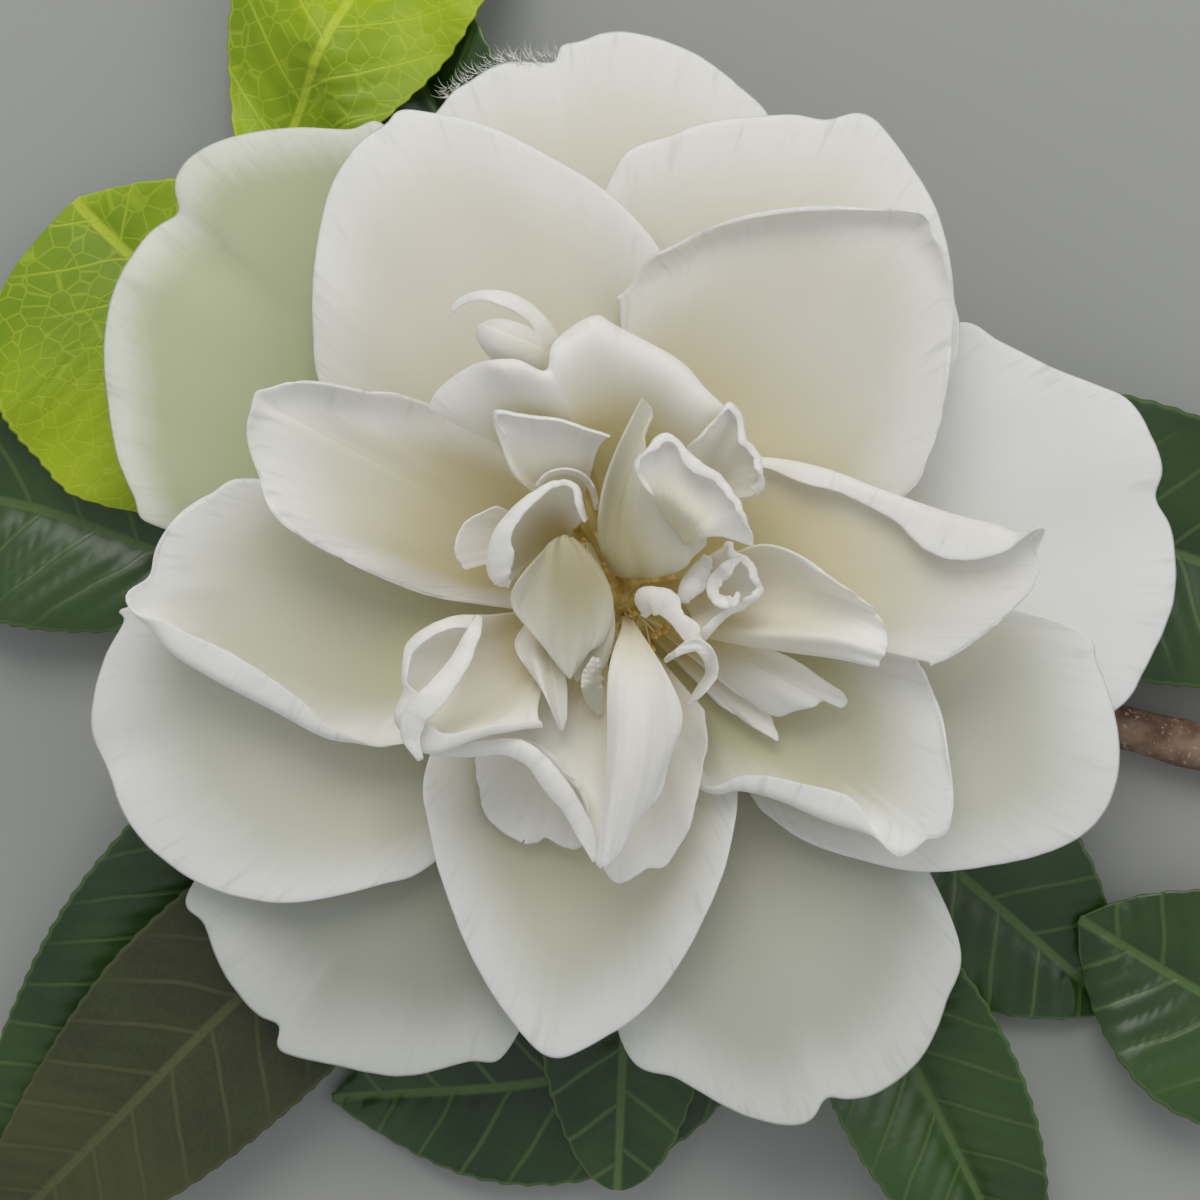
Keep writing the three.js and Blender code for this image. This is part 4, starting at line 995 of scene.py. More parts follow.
# %% Large petals
PETALS = {
    "petal_top_back": {
        "rim": [[9, 20], [14, 32], [17, 42], [15.5, 47.5], [13, 50], [8.5, 53.5], [3.5, 55.5],
                [-0.5, 56], [-3.5, 55], [-5.6, 54.6], [-5.9, 52.9], [-8, 52.9], [-11.5, 52.8],
                [-14.5, 51], [-17, 49], [-20, 42], [-16, 25]],
        "rise": [16, 18, 18.5, 17], "look": PETAL_WARM,
    },
    "petal_right_back": {
        "rim": [[25, -14], [42, -16], [50.5, -11.8], [53, -8], [55.3, -3], [56.2, 2], [55.7, 6.5],
                [54.2, 9.3], [54.8, 12], [53.5, 16], [51.5, 19], [48.5, 20.5], [43.5, 22.5], [38.5, 25],
                [34, 26.8], [24, 22]],
        "rise": [16, 17.5, 18, 16], "cup": 1, "ripple": 0.5, "look": PETAL_PAINTED_LIGHT,
    },
    "petal_lower_right_back": {
        "rim": [[-4, -20], [0.5, -45], [6.5, -49], [12.5, -52.5], [17.5, -53.7], [20, -52.8],
                [21.1, -50.7], [23.5, -51], [27, -50], [31, -46.5], [33.3, -41], [34.2, -34], [24, -14]],
        "rise": [16, 17, 17, 15], "look": PETAL_MID_PAINTED_SHADE,
    },
    "petal_lower_left_back": {
        "rim": [[-27, -12], [-42.3, -29.3], [-41.2, -33.5], [-39, -38.5], [-36, -42.5], [-33.6, -43.6],
                [-34, -45.8], [-32.5, -46.6], [-28.5, -47.5], [-21.5, -48.7], [-14.5, -47.2], [-10, -45],
                [0, -24]],
        "rise": [16, 17, 17, 14.5], "look": PETAL_DEEP_PAINTED_SHADE,
    },
    "petal_upper_left_back": {
        "rim": [[-14, 30], [-22.5, 46], [-26.5, 46.2], [-32.5, 46.4], [-38.5, 45.5], [-42.5, 43.5],
                [-44.2, 41], [-44, 39.5], [-43.6, 37.6], [-45.5, 36.5], [-47.5, 34.5], [-50, 30.5],
                [-51.2, 25], [-51, 19], [-50, 13.5], [-48, 9], [-45.5, 6.2], [-22, 0]],
        "rise": [16, 18, 19.5, 19], "cup": 1, "creases": [(0.45, 1.2, 0.035, 0.55)], "look": PETAL_PAINTED_LEAF_LIGHT_AND_SHADE,
    },
    "petal_lower_right": {
        "rim": [[14.5, -22], [18.5, -24.8], [23.5, -26.8], [31.5, -28.3], [38.5, -27.5], [44.5, -25.8],
                [48.5, -23], [50.3, -18], [50.3, -13], [48.5, -7.5], [45.5, -3.5], [24, 2]],
        "rise": [17, 19, 20.5, 19], "bearing": -28, "cup": 1, "look": PETAL_SOFT_PAINTED_SHADE,
    },
    "petal_left_lower": {
        "rim": [[-20, 2], [-47.8, -1.5], [-49, -3], [-51, -6.5], [-52.3, -11], [-52.3, -14.5],
                [-50.8, -18], [-49.5, -22], [-46.5, -26], [-42.5, -29], [-37.5, -30.8], [-31.5, -31.3],
                [-23.5, -29.5], [-18.3, -27.5], [-8, -18]],
        "rise": [17, 19, 20.5, 19], "cup": 1, "creases": [(0.46, 0.8, 0.03, 0.6)], "look": PETAL_SOFT_PAINTED_SHADE,
    },
    "petal_upper_right": {
        "rim": [[24, 10], [34, 22], [34, 30], [33.5, 33.5], [32.3, 37.5], [30, 42], [27, 46],
                [24.5, 47.8], [21, 47.1], [17.5, 47.7], [10.5, 47], [5.5, 45.5], [0.5, 43], [-3, 32],
                [-2, 16]],
        "rise": [18, 21, 24, 24.5], "cup": 1.5, "look": PETAL_WARM,
    },
    "petal_upper_left": {
        "rim": [[5, 16], [7, 28], [5, 33.5], [2.5, 36.8], [-2.5, 41], [-8.5, 44.5], [-13.5, 46.8],
                [-18.5, 48], [-22, 48.3], [-22.6, 47], [-25.5, 45], [-28, 41.5], [-29.5, 37],
                [-30.2, 31], [-30.2, 25], [-29.7, 21], [-26, 14], [-12, 4]],
        "rise": [18, 23, 26, 27], "cup": -1, "look": PETAL_WARM,
    },
    "petal_bottom": {
        "rim": [[-14, -6], [-19, -18], [-18.3, -25], [-16.5, -31.5], [-13.5, -38.5], [-9.5, -44.5],
                [-6.3, -47], [-2.5, -45.8], [2.5, -42.5], [6.5, -37.5], [10, -30.5], [11.7, -25],
                [12, -18], [8, -6]],
        "rise": [18, 21, 22.5, 21], "cup": 4, "look": PETAL_SOFT_PAINTED_SHADE,
    },
    "petal_left": {
        "rim": [[-16, 9], [-36, 11], [-40, 9.7], [-43.5, 7.5], [-46, 4], [-47.5, 0], [-47.9, -2.5],
                [-46.5, -4], [-44, -6.5], [-39.5, -9.2], [-34.5, -11.8], [-29.5, -14.5], [-26.5, -15.2],
                [-21.5, -15.2], [-10, -10]],
        "rise": [19, 22, 25, 28], "cup": 1, "ragged": 0.12, "look": PETAL_SOFT_PAINTED_SHADE,
        "roll": [0, 0, 0, 0, 0, 0, 0, 140, 175, 175, 165, 120, 60, 20, 0],
        "lip": [0, 0, 0, 0, 0, 0, 0, 1, 2, 1.9, 1.3, 0.5, 0, 0, 0],
    },
    "petal_right_upper": {
        "rim": [[22, 4], [29.7, 10.3], [31, 13], [32.5, 17], [33.5, 24], [33.8, 29], [33, 32.5],
                [31.6, 35.5], [30.6, 37.6], [24.5, 38.2], [18.5, 38.2], [12.5, 37.2], [7.5, 35.2],
                [3.5, 32.5], [0, 29.3]],
        "rise": [19, 24, 28, 31], "cup": 1, "roll": [0, 0, 0, 20, 90, 120, 90, 0], "look": PETAL_WARM,
    },
    "petal_lower_right_front": {
        "rim": [[2, -12], [8.5, -19.8], [12.5, -20], [16.5, -21], [21.5, -23.2], [26.5, -24.8],
                [30.5, -25.5], [33, -24.5], [33.7, -21.5], [33.3, -17], [32, -11], [28, -5], [16, -1]],
        "rise": [19, 22, 25, 27], "cup": 1, "ragged": 0.12, "look": PETAL_SOFT_PAINTED_SHADE,
        "roll": [0, 60, 120, 165, 175, 170, 70, 0, 0, 0, 0, 0, 0, 0, 0],
        "lip": [0, 0.1, 0.3, 0.7, 1.4, 2.1, 1.4, 0, 0, 0, 0, 0, 0, 0, 0],
    },
    "petal_left_front": {
        "rim": [[-8, 14], [-18.5, 18.5], [-24.5, 19.7], [-29.5, 20.7], [-32.5, 20.7], [-34.6, 19.9],
                [-36, 19.6], [-36.1, 18.3], [-36.7, 16], [-36, 12.5], [-34.3, 8], [-31.5, 5.5],
                [-26.5, 2.8], [-19.5, -0.2], [-13.5, -1.3], [-8, -2]],
        "rise": [20, 26, 32, 35], "cup": 1, "roll": [0, 20, 60, 40, 0, 0, 0, 0], "look": PETAL_WARM,
    },
    "petal_right_front": {
        "rim": [[31.5, -7.6], [34.5, -6], [38.5, -3], [41.5, 0], [42.5, 3], [42.2, 5], [38.5, 6.4],
                [33.5, 7.6], [26.5, 10], [20.5, 12.2], [14.5, 13.2], [7, 13]],
        "rise": [20, 26, 31, 33], "bearing": 6, "roll_width": 3, "ragged": 0.12, "look": PETAL_WARM,
        "roll": [0, 0, 0, 0, 0, 0, 0, 140, 172, 175, 175, 175, 175, 175, 175, 170, 160, 140, 90, 60],
        "lip": [0, 0, 0, 0, 0, 0, 0, 1.3, 2.7, 3.6, 3.2, 2, 1.3, 1, 0.8, 0.7, 0.5, 0.3, 0.1, 0],
    },
}

PETAL_FLOOR = 12.2
bloom_map = HeightMap(PETAL_FLOOR - CLEARANCE)


def add_petal(name, petal, kind, seed, *nodes):
    """Draws a petal by its rule, lays it on the ones before it, and makes it a finished piece."""
    steps, thickness = kind["steps"], kind["thickness"]
    if "net" in petal:
        grid = net_grid(petal, steps)
    elif "band" in petal:
        grid = band_grid(petal, steps)
    elif "scroll" in petal:
        grid = scroll_grid(petal, steps)
    else:
        grid = petal_grid(petal, kind["foot"], steps)
    grid = roughened(grid, petal, seed)
    fan = "rim" in petal
    hidden = petal.get("hidden", 0 if fan else 7)
    loose = ease(hidden - 2, hidden + 1, np.linalg.norm(grid[..., :2], axis=-1)) if hidden else 1.0
    lay_over(bloom_map, grid, thickness / 2, steps["along"] if "roll" in petal else None, loose)
    # gold scales the golden olive of the hollow, which is partly cream and partly painted shade.
    looks = petal_attributes(grid, seed, petal.get("gold", 1))
    piece = sheet(name, from_view(grid), thickness, looks, rim_share=0.55)
    return finish_piece(piece, petal["look"], kind["slot"], *nodes)


for number, (name, petal) in enumerate(PETALS.items()):
    add_petal("blade_" + name, petal, LARGE, number + 1, name)
print("large petals:", len(PETALS))

# %% [markdown]
# The small petals of the middle are stamens that turned into petals, so they are narrow, curled and
# ragged. They are laid one on another in this order, like the large ones. The smallest ones have no
# solid of their own, and each is laid just before the small petal that lies over it.

# %% Small petals
PETALOIDS = {
    "petaloid_right_scrap": {
        "rim": [[10.6, -11.6], [13.3, -13.4], [15.4, -14.6], [16.4, -15.1], [16.1, -13.6], [15.6, -12.6],
                [13.4, -10.2]],
        "rise": [21, 23, 25, 26], "ragged": 0.2,
    },
    "petaloid_right_lower": {
        "rim": [[12.2, -10.4], [13.7, -11.3], [16, -12.7], [17.8, -12.3], [19.9, -11.5], [21.6, -11.3],
                [22.7, -11.9], [23.5, -11.3], [22.8, -10.2], [21.2, -9.2], [18.7, -7.4], [16.2, -6.4],
                [12.9, -5.7]],
        "rise": [22, 26, 29, 28], "cup": -2.5, "ragged": 0.2,
    },
    "petaloid_right": {
        "net": [
            [[4.5, -3, 27], [10.5, -5, 31], [17.5, -6.2, 33.5], [22.5, -6.9, 35], [26.5, -7.8, 36]],
            [[4.5, -2.6, 27], [10.5, -3.9, 31.6], [17.5, -4.4, 34.8], [22.5, -4.9, 36.4], [27, -6.4, 36.6]],
            [[4.5, -2, 27], [11.5, -2.6, 30], [17.5, -2.6, 32], [23, -3, 34], [27.3, -4.9, 36.2]],
            [[4.5, -1.4, 27], [11.5, -0.6, 29.6], [17.5, 0.2, 31.6], [23, -0.8, 34], [26.5, -2.6, 36.6]],
            [[4.5, -0.6, 27], [11.5, 1.6, 30.4], [17.1, 2.4, 33.4], [21.5, 0.6, 36], [24.9, -1, 37]],
            [[4.5, 0, 27], [10.5, 3, 32], [14.9, 4.6, 35], [18.9, 3.2, 37], [21.9, 0.9, 37.4]],
        ],
        "ragged": 0.15,
    },
    "petaloid_pale": {
        "rim": [[-14.1, -16.9], [-13.6, -20.5], [-12.2, -23.5], [-10.2, -24.9], [-7.9, -25.4],
                [-6.9, -24.8], [-4.8, -25.9], [-3.3, -25.8]],
        "rise": [21, 23, 24, 25], "bearing": -112, "ragged": 0.15,
    },
    "petaloid_lower_back": {
        "rim": [[-1.6, -27.4], [-0.6, -28.9], [0.4, -29.4], [2.2, -28.3], [3.4, -27.8], [4.9, -28.1],
                [6.3, -26.2], [8.3, -20.9], [9.2, -15.6], [9, -12]],
        "rise": [22, 25, 28, 29], "cup": 2, "ragged": 0.2,
    },
    "petaloid_wavy": {
        "rim": [[-18.2, -15.3], [-15.4, -15.9], [-12.6, -15.7], [-9.8, -15.2], [-7.4, -16.2],
                [-5.2, -18.4], [-3.4, -20.4], [-2.6, -23], [-2, -26.5]],
        "rise": [22, 26, 30, 33], "bearing": -118, "roll": [60, 110, 140, 150, 140, 110, 60],
        "roll_width": 2.4, "ragged": 0.25,
    },
    "petaloid_back_tail": {
        "band": [[-4, 19, 33, 1.2], [-6.1, 24, 35.5, 1.1], [-7.9, 27, 37, 0.95], [-10.5, 28.9, 38, 0.8],
                 [-13.3, 29.4, 38, 0.55], [-15.3, 28.8, 37.5, 0.4], [-16.3, 27.8, 37, 0.25]],
        "lean": 30,
    },
    "petaloid_back_curl": {
        "scroll": [[-5.5, 19, 32, 1.4], [-7.2, 22, 34.5, 2.5], [-9.2, 23.8, 36.6, 2.8],
                   [-10.9, 24.9, 38, 2.5], [-12.1, 25.6, 37.8, 1.9], [-12.9, 26, 36, 0.8]],
        "turns": 1.3, "from": 95,
    },
    "petaloid_back_hood": {
        "look": PETALOID_HOOD_CREAM_AND_PAINTED_SHADE,
        "net": [
            [[2.5, 9, 31], [6.5, 13, 34], [9.1, 16.5, 36.5], [10.7, 18, 37], [11.1, 18.3, 36]],
            [[1.5, 9.5, 31], [5.5, 15, 35], [7.5, 18.6, 38], [8.8, 19.9, 38], [9.1, 20.2, 36.8]],
            [[0.9, 10, 31], [3.1, 16.5, 35.5], [5.1, 21.6, 39], [6.1, 22.6, 38.8], [6.4, 23, 37.4]],
            [[0.1, 10, 31], [0.5, 17, 36], [0.3, 24, 40], [0.2, 26, 39.6], [0.2, 26.4, 38]],
            [[-0.5, 10, 31], [-1.2, 17, 36], [-2.3, 25, 40], [-2.3, 27, 39.6], [-2.3, 27.4, 38]],
            [[-1.1, 10, 31], [-3.1, 16, 35.6], [-5.3, 22.6, 39], [-5.8, 24.2, 38.6], [-6.1, 24.8, 37.4]],
            [[-1.5, 10, 31], [-4.1, 15.5, 35], [-6.1, 20.4, 37.6], [-6.7, 21.6, 37.8], [-6.9, 22, 37]],
            [[-2.1, 10, 31], [-5.9, 15.6, 35], [-8.7, 21, 38.4], [-9.7, 22.6, 38.4], [-10, 23.1, 37.2]],
            [[-2.5, 10, 31], [-7.5, 15.4, 35], [-12.1, 20.6, 38.4], [-13.7, 22.2, 38.2], [-14.1, 22.7, 37]],
            [[-2.9, 10, 31], [-9.1, 14.6, 34.6], [-15.1, 18.2, 37.4], [-17.1, 19.9, 37], [-17.6, 20.3, 36]],
            [[-3.3, 9.8, 31], [-9.5, 13.6, 34], [-15.5, 16.4, 36], [-18.3, 17.9, 36], [-18.8, 18.2, 35.2]],
        ],
    },
    "petaloid_left_scrap": {
        "ripple": 0.04,
        "net": [
            [[-8.5, 6.4, 30], [-10.5, 7.8, 33], [-11.7, 8.4, 34.5], [-12.1, 8.3, 35.2]],
            [[-8.5, 5.8, 30], [-12.1, 6.8, 33.4], [-14.1, 7.1, 35.4], [-14.7, 7, 36]],
            [[-8.5, 5, 30], [-12.5, 5.4, 33.4], [-15.1, 5.6, 35.6], [-15.8, 5.5, 36.2]],
            [[-8.5, 4.2, 30], [-12.5, 4, 33.2], [-15.3, 3.6, 35.4], [-16.1, 3.5, 36]],
            [[-8.5, 3.6, 30], [-12.1, 2.8, 33], [-14.3, 2.2, 34.6], [-15.1, 2, 35.2]],
        ],
    },
    "petaloid_cross_flap": {
        "net": [
            [[-3, 9, 32], [-2.3, 12, 35], [-1.5, 14.5, 37], [-0.3, 15.6, 38.4], [-0.5, 15.2, 39]],
            [[-3.7, 9, 32], [-3.7, 12.4, 35.4], [-3.5, 15.6, 37.6], [-3.3, 16.6, 39], [-3.4, 16.1, 39.5]],
            [[-4.5, 9, 32], [-5.5, 12.6, 35.6], [-6.1, 16.4, 38], [-6.2, 17.5, 39.2], [-6.2, 16.9, 39.7]],
            [[-5.3, 9, 32], [-7.5, 12.4, 35.6], [-8.9, 16.4, 38], [-9.2, 17.9, 39.2], [-9, 17.2, 39.7]],
            [[-6.1, 9, 32], [-9.1, 11.8, 35.4], [-11.1, 15.2, 37.6], [-12.2, 18, 38.6], [-11.5, 17.3, 39.2]],
            [[-6.5, 8.6, 32], [-9.3, 10.6, 35], [-10.7, 12.6, 37], [-11.2, 15.6, 37.8], [-10.9, 15.4, 38.2]],
        ],
    },
    "petaloid_loop": {
        "net": [
            [[-5.5, -2, 28], [-9.5, -2.2, 31], [-12.5, -2.6, 34], [-14.1, -2.7, 36], [-14.3, -3.9, 37]],
            [[-5.5, -2.4, 28], [-10.5, -3.2, 31], [-14.5, -3.2, 34.5], [-17.1, -2.8, 37], [-16.9, -4, 38]],
            [[-5.5, -2.8, 28], [-11.5, -4.6, 31], [-17.5, -5, 34.5], [-20.9, -5.2, 37.5],
             [-19.9, -6.2, 38.5]],
            [[-5.5, -3.2, 28], [-11.5, -6.2, 31], [-17.9, -7.6, 34.2], [-21.5, -9, 37.6],
             [-20.7, -9.2, 38.4]],
            [[-5.5, -3.6, 28], [-11.5, -8, 31], [-18, -10.4, 34], [-22.4, -12.6, 37], [-18.9, -10.9, 38.8]],
            [[-5.5, -4, 28], [-11, -9.6, 31], [-17, -13, 34], [-21.1, -15, 36.4], [-18.7, -12.4, 38.2]],
            [[-5.3, -4.4, 28], [-10.1, -10.6, 31], [-15.1, -14.4, 34], [-18.7, -16.6, 35.6],
             [-16.9, -14.2, 36.8]],
            [[-5.1, -4.8, 28], [-8.5, -10.6, 31], [-11.1, -13.4, 34], [-11.7, -14.6, 35.4],
             [-11.3, -13.4, 36]],
            [[-4.9, -5, 28], [-7.1, -9.6, 31], [-7.7, -12.6, 34], [-7.1, -14, 35], [-7.3, -13, 35.5]],
        ],
        "ragged": 0.15,
    },
    "petaloid_right_upper": {
        "net": [
            [[8.5, 8, 30], [11.5, 9, 34], [13.8, 9.3, 36.5], [14.1, 9.6, 37.4], [13.5, 10.2, 38]],
            [[8.5, 8.4, 30], [11.9, 10.4, 34], [14.5, 11, 37], [15.4, 11, 38.2], [14.3, 11.8, 38.6]],
            [[8.5, 8.8, 30], [11.5, 11.8, 34], [13.8, 13, 37], [14.6, 13.4, 38.2], [13.5, 13.2, 38.4]],
            [[8.1, 9, 30], [10.5, 12.6, 34], [12.5, 15.4, 37], [13.5, 16, 38], [12.5, 15.4, 38.3]],
            [[7.7, 9, 30], [9.5, 13, 34], [10.9, 16.8, 37], [11.6, 19, 38], [11.2, 17.8, 38.6]],
            [[7.3, 9, 30], [8.1, 12.6, 34], [9.1, 15.6, 36.6], [9.9, 17, 37.2], [9.7, 16.2, 37.4]],
            [[6.9, 9, 30], [6.9, 12, 34], [7.1, 14, 36], [7.3, 14.8, 36.4], [7.5, 14.4, 36.6]],
        ],
        "ragged": 0.35,
    },
    "petaloid_rosette": {
        "net": [
            [[6.5, -1, 27], [8, -3.5, 31], [8.9, -5.2, 34], [8.7, -4.8, 34.8], [8.1, -4.2, 35]],
            [[6.9, -0.7, 27], [9.7, -2.2, 31.5], [11.1, -2.6, 34.6], [11.4, -2.3, 35.6], [10.7, -1.9, 35.9]],
            [[7.1, -0.2, 27], [11.3, -1, 32], [13.9, -1, 35], [14.4, -0.7, 36], [13.4, -0.4, 36.3]],
            [[7.1, 0.3, 27], [11.3, 0.6, 32], [14.4, 0.7, 35.2], [14.6, 1, 36.2], [13.7, 0.9, 36.5]],
            [[6.9, 0.8, 27], [10.5, 2.2, 32], [13.1, 3, 35], [13.4, 3.3, 36], [12.5, 2.7, 36.2]],
            [[6.5, 1.2, 27], [9, 3.2, 31.5], [11.1, 4.6, 34], [11.3, 5, 34.8], [10.7, 4.4, 35]],
        ],
        "ragged": 0.3,
    },
    "petaloid_hood": {
        "net": [
            [[-4.3, 5.6, 31], [-3.7, 6.4, 35], [-2.9, 7.2, 38], [-2.7, 7, 38.8], [-3.1, 6.6, 39]],
            [[-4.7, 5.8, 31], [-4.3, 7.6, 35], [-3.4, 9.4, 38.5], [-3.5, 9.9, 39.4], [-4.2, 9.3, 39.4]],
            [[-5.1, 6, 31], [-5.7, 8.2, 35], [-5.8, 10.6, 38.6], [-5.9, 11.1, 39.8], [-6, 10.2, 40]],
            [[-5.5, 6, 31], [-7.5, 8, 35], [-8.9, 9.4, 38.8], [-9.3, 9.6, 40], [-8.4, 8.8, 40.3]],
            [[-5.9, 5.8, 31], [-8.9, 6.6, 35], [-11.5, 6.4, 38.6], [-12, 6, 40], [-10.1, 5.9, 40.6]],
            [[-6.3, 5.4, 31], [-9.5, 4.6, 34.5], [-12.4, 3.4, 38], [-12.9, 2.8, 39.3], [-9.9, 3.4, 40.4]],
            [[-6.7, 4.8, 31], [-9.5, 2.8, 34], [-11.9, 1.2, 37], [-12.3, 0.6, 38.2], [-10.4, 1.6, 39.4]],
            [[-7.1, 4.2, 31], [-9.1, 2.2, 33.5], [-10.4, 0.6, 36.5], [-10.7, 0, 37.5], [-10.4, 0.7, 38.5]],
        ],
        "ragged": 0.3,
    },
    "petaloid_tongue": {
        "look": PETALOID_PAINTED_SHADE,
        "net": [
            [[1.7, 1.6, 29], [6.3, 2.6, 34], [8.8, 4.2, 35.5], [9.3, 4.7, 36], [9.1, 5.3, 36.2]],
            [[1.5, 1.6, 29], [5.3, 1.7, 34.6], [6.7, 2.2, 36], [7.5, 4.2, 36.8], [7.3, 7.2, 37.6]],
            [[1.1, 1.6, 29], [3.1, 1.4, 35], [3.8, 1.9, 36.3], [4.1, 5.5, 37.4], [4.1, 10, 38.4]],
            [[0.7, 1.6, 29], [0.9, 1.6, 35], [1.3, 2.3, 36.2], [1.1, 7, 37.4], [3, 15.5, 39.2]],
            [[0.3, 1.8, 29], [-0.3, 2.2, 34.4], [-0.5, 3.2, 35.8], [0.3, 9.5, 37], [3.9, 18, 38.7]],
            [[0, 2, 29], [-1.4, 4.1, 33.5], [-1.67, 8, 35.6], [-0.1, 13.6, 37], [2.7, 19.3, 38.4]],
        ],
        "ragged": 0.12,
    },
    "petaloid_curled_rim": {
        "hidden": 10,
        "net": [
            [[7.1, 4.6, 31], [10, 5.4, 34], [13, 4.6, 36.5], [14.1, 4.2, 37], [13.7, 4.9, 37.4]],
            [[6.9, 4.8, 31], [9.5, 7, 34.5], [12.4, 7.6, 38], [13.1, 7.9, 39], [12.1, 7.8, 39.4]],
            [[6.7, 5, 31], [8.3, 8.2, 34.5], [10.3, 11, 38.5], [11, 11.6, 39.8], [10, 10.8, 40]],
            [[6.5, 5, 31], [6.7, 8.8, 35], [7.7, 13, 39], [8.1, 13.7, 40.3], [7.1, 12.4, 40.6]],
            [[6.3, 5, 31.5], [5.1, 9, 35.5], [4.9, 14.5, 39.5], [5, 15.9, 40.6], [5.7, 14.4, 41]],
            [[6.1, 5, 32], [4.1, 8.8, 36.5], [2.6, 12, 39.5], [1.9, 13, 40.6], [3.1, 13.4, 41]],
            [[6.1, 5.4, 33.5], [6, 7.2, 36.6], [4.9, 8.6, 38.4], [3.1, 10, 39.6], [2.2, 11.4, 40.3]],
        ],
        "ragged": 0.3,
    },
    "petaloid_inner_leaf": {
        "look": PETALOID_PAINTED_SHADE,
        "net": [
            [[-6.1, 4.8, 33], [-7.7, 3.4, 35.4], [-9.9, 0.8, 36.2], [-10.6, -1, 36.2], [-9.9, -2.4, 36]],
            [[-5.7, 5.2, 33.6], [-6.7, 3.4, 35.8], [-8.1, -0.5, 36.6], [-8.8, -2.8, 36.5],
             [-8.1, -4.6, 36.2]],
            [[-5.3, 5.4, 34], [-5.5, 3, 36], [-5.5, -1.5, 36.7], [-5.8, -4.6, 36.5], [-5.1, -8.4, 35.8]],
            [[-4.8, 5.3, 34], [-3.9, 3, 35.8], [-3.1, -1, 36.4], [-3.3, -4.2, 36.2], [-4.2, -8.6, 35.6]],
            [[-4.4, 5.2, 33.6], [-2.9, 3, 35.6], [-1.2, 0, 36], [-1.1, -2.8, 35.9], [-2.5, -6.2, 35.4]],
            [[-4, 5, 33], [-2.1, 3, 35.2], [-0.6, 0.4, 35.6], [-0.2, -2.2, 35.6], [-1.3, -5.4, 35]],
        ],
    },
    "petaloid_long_front": {
        "look": PETALOID_FREE, "gold": 0.15,
        "net": [
            [[0.7, -3.8, 32], [-0.6, -8, 37], [-0.7, -16, 38.5], [-1.4, -24, 38], [-1.9, -27.6, 37]],
            [[1.1, -4, 33], [0.9, -9, 39], [0.7, -16, 40.5], [-0.3, -23, 39.5], [-1.1, -27.8, 37.6]],
            [[1.5, -4.2, 33], [2.7, -9, 39], [2.7, -16, 40.3], [1.5, -22, 39.3], [0.2, -26.7, 37.6]],
            [[1.9, -4.2, 33], [4.3, -9, 38], [4.6, -15.4, 39], [3.8, -19.8, 38.4], [2.3, -23.4, 37.4]],
            [[2.3, -4, 32], [5.5, -9.2, 36.5], [6.8, -12.6, 37], [5.5, -16.6, 37.3], [4.7, -20.4, 37]],
        ],
        "ragged": 0.2,
    },
}
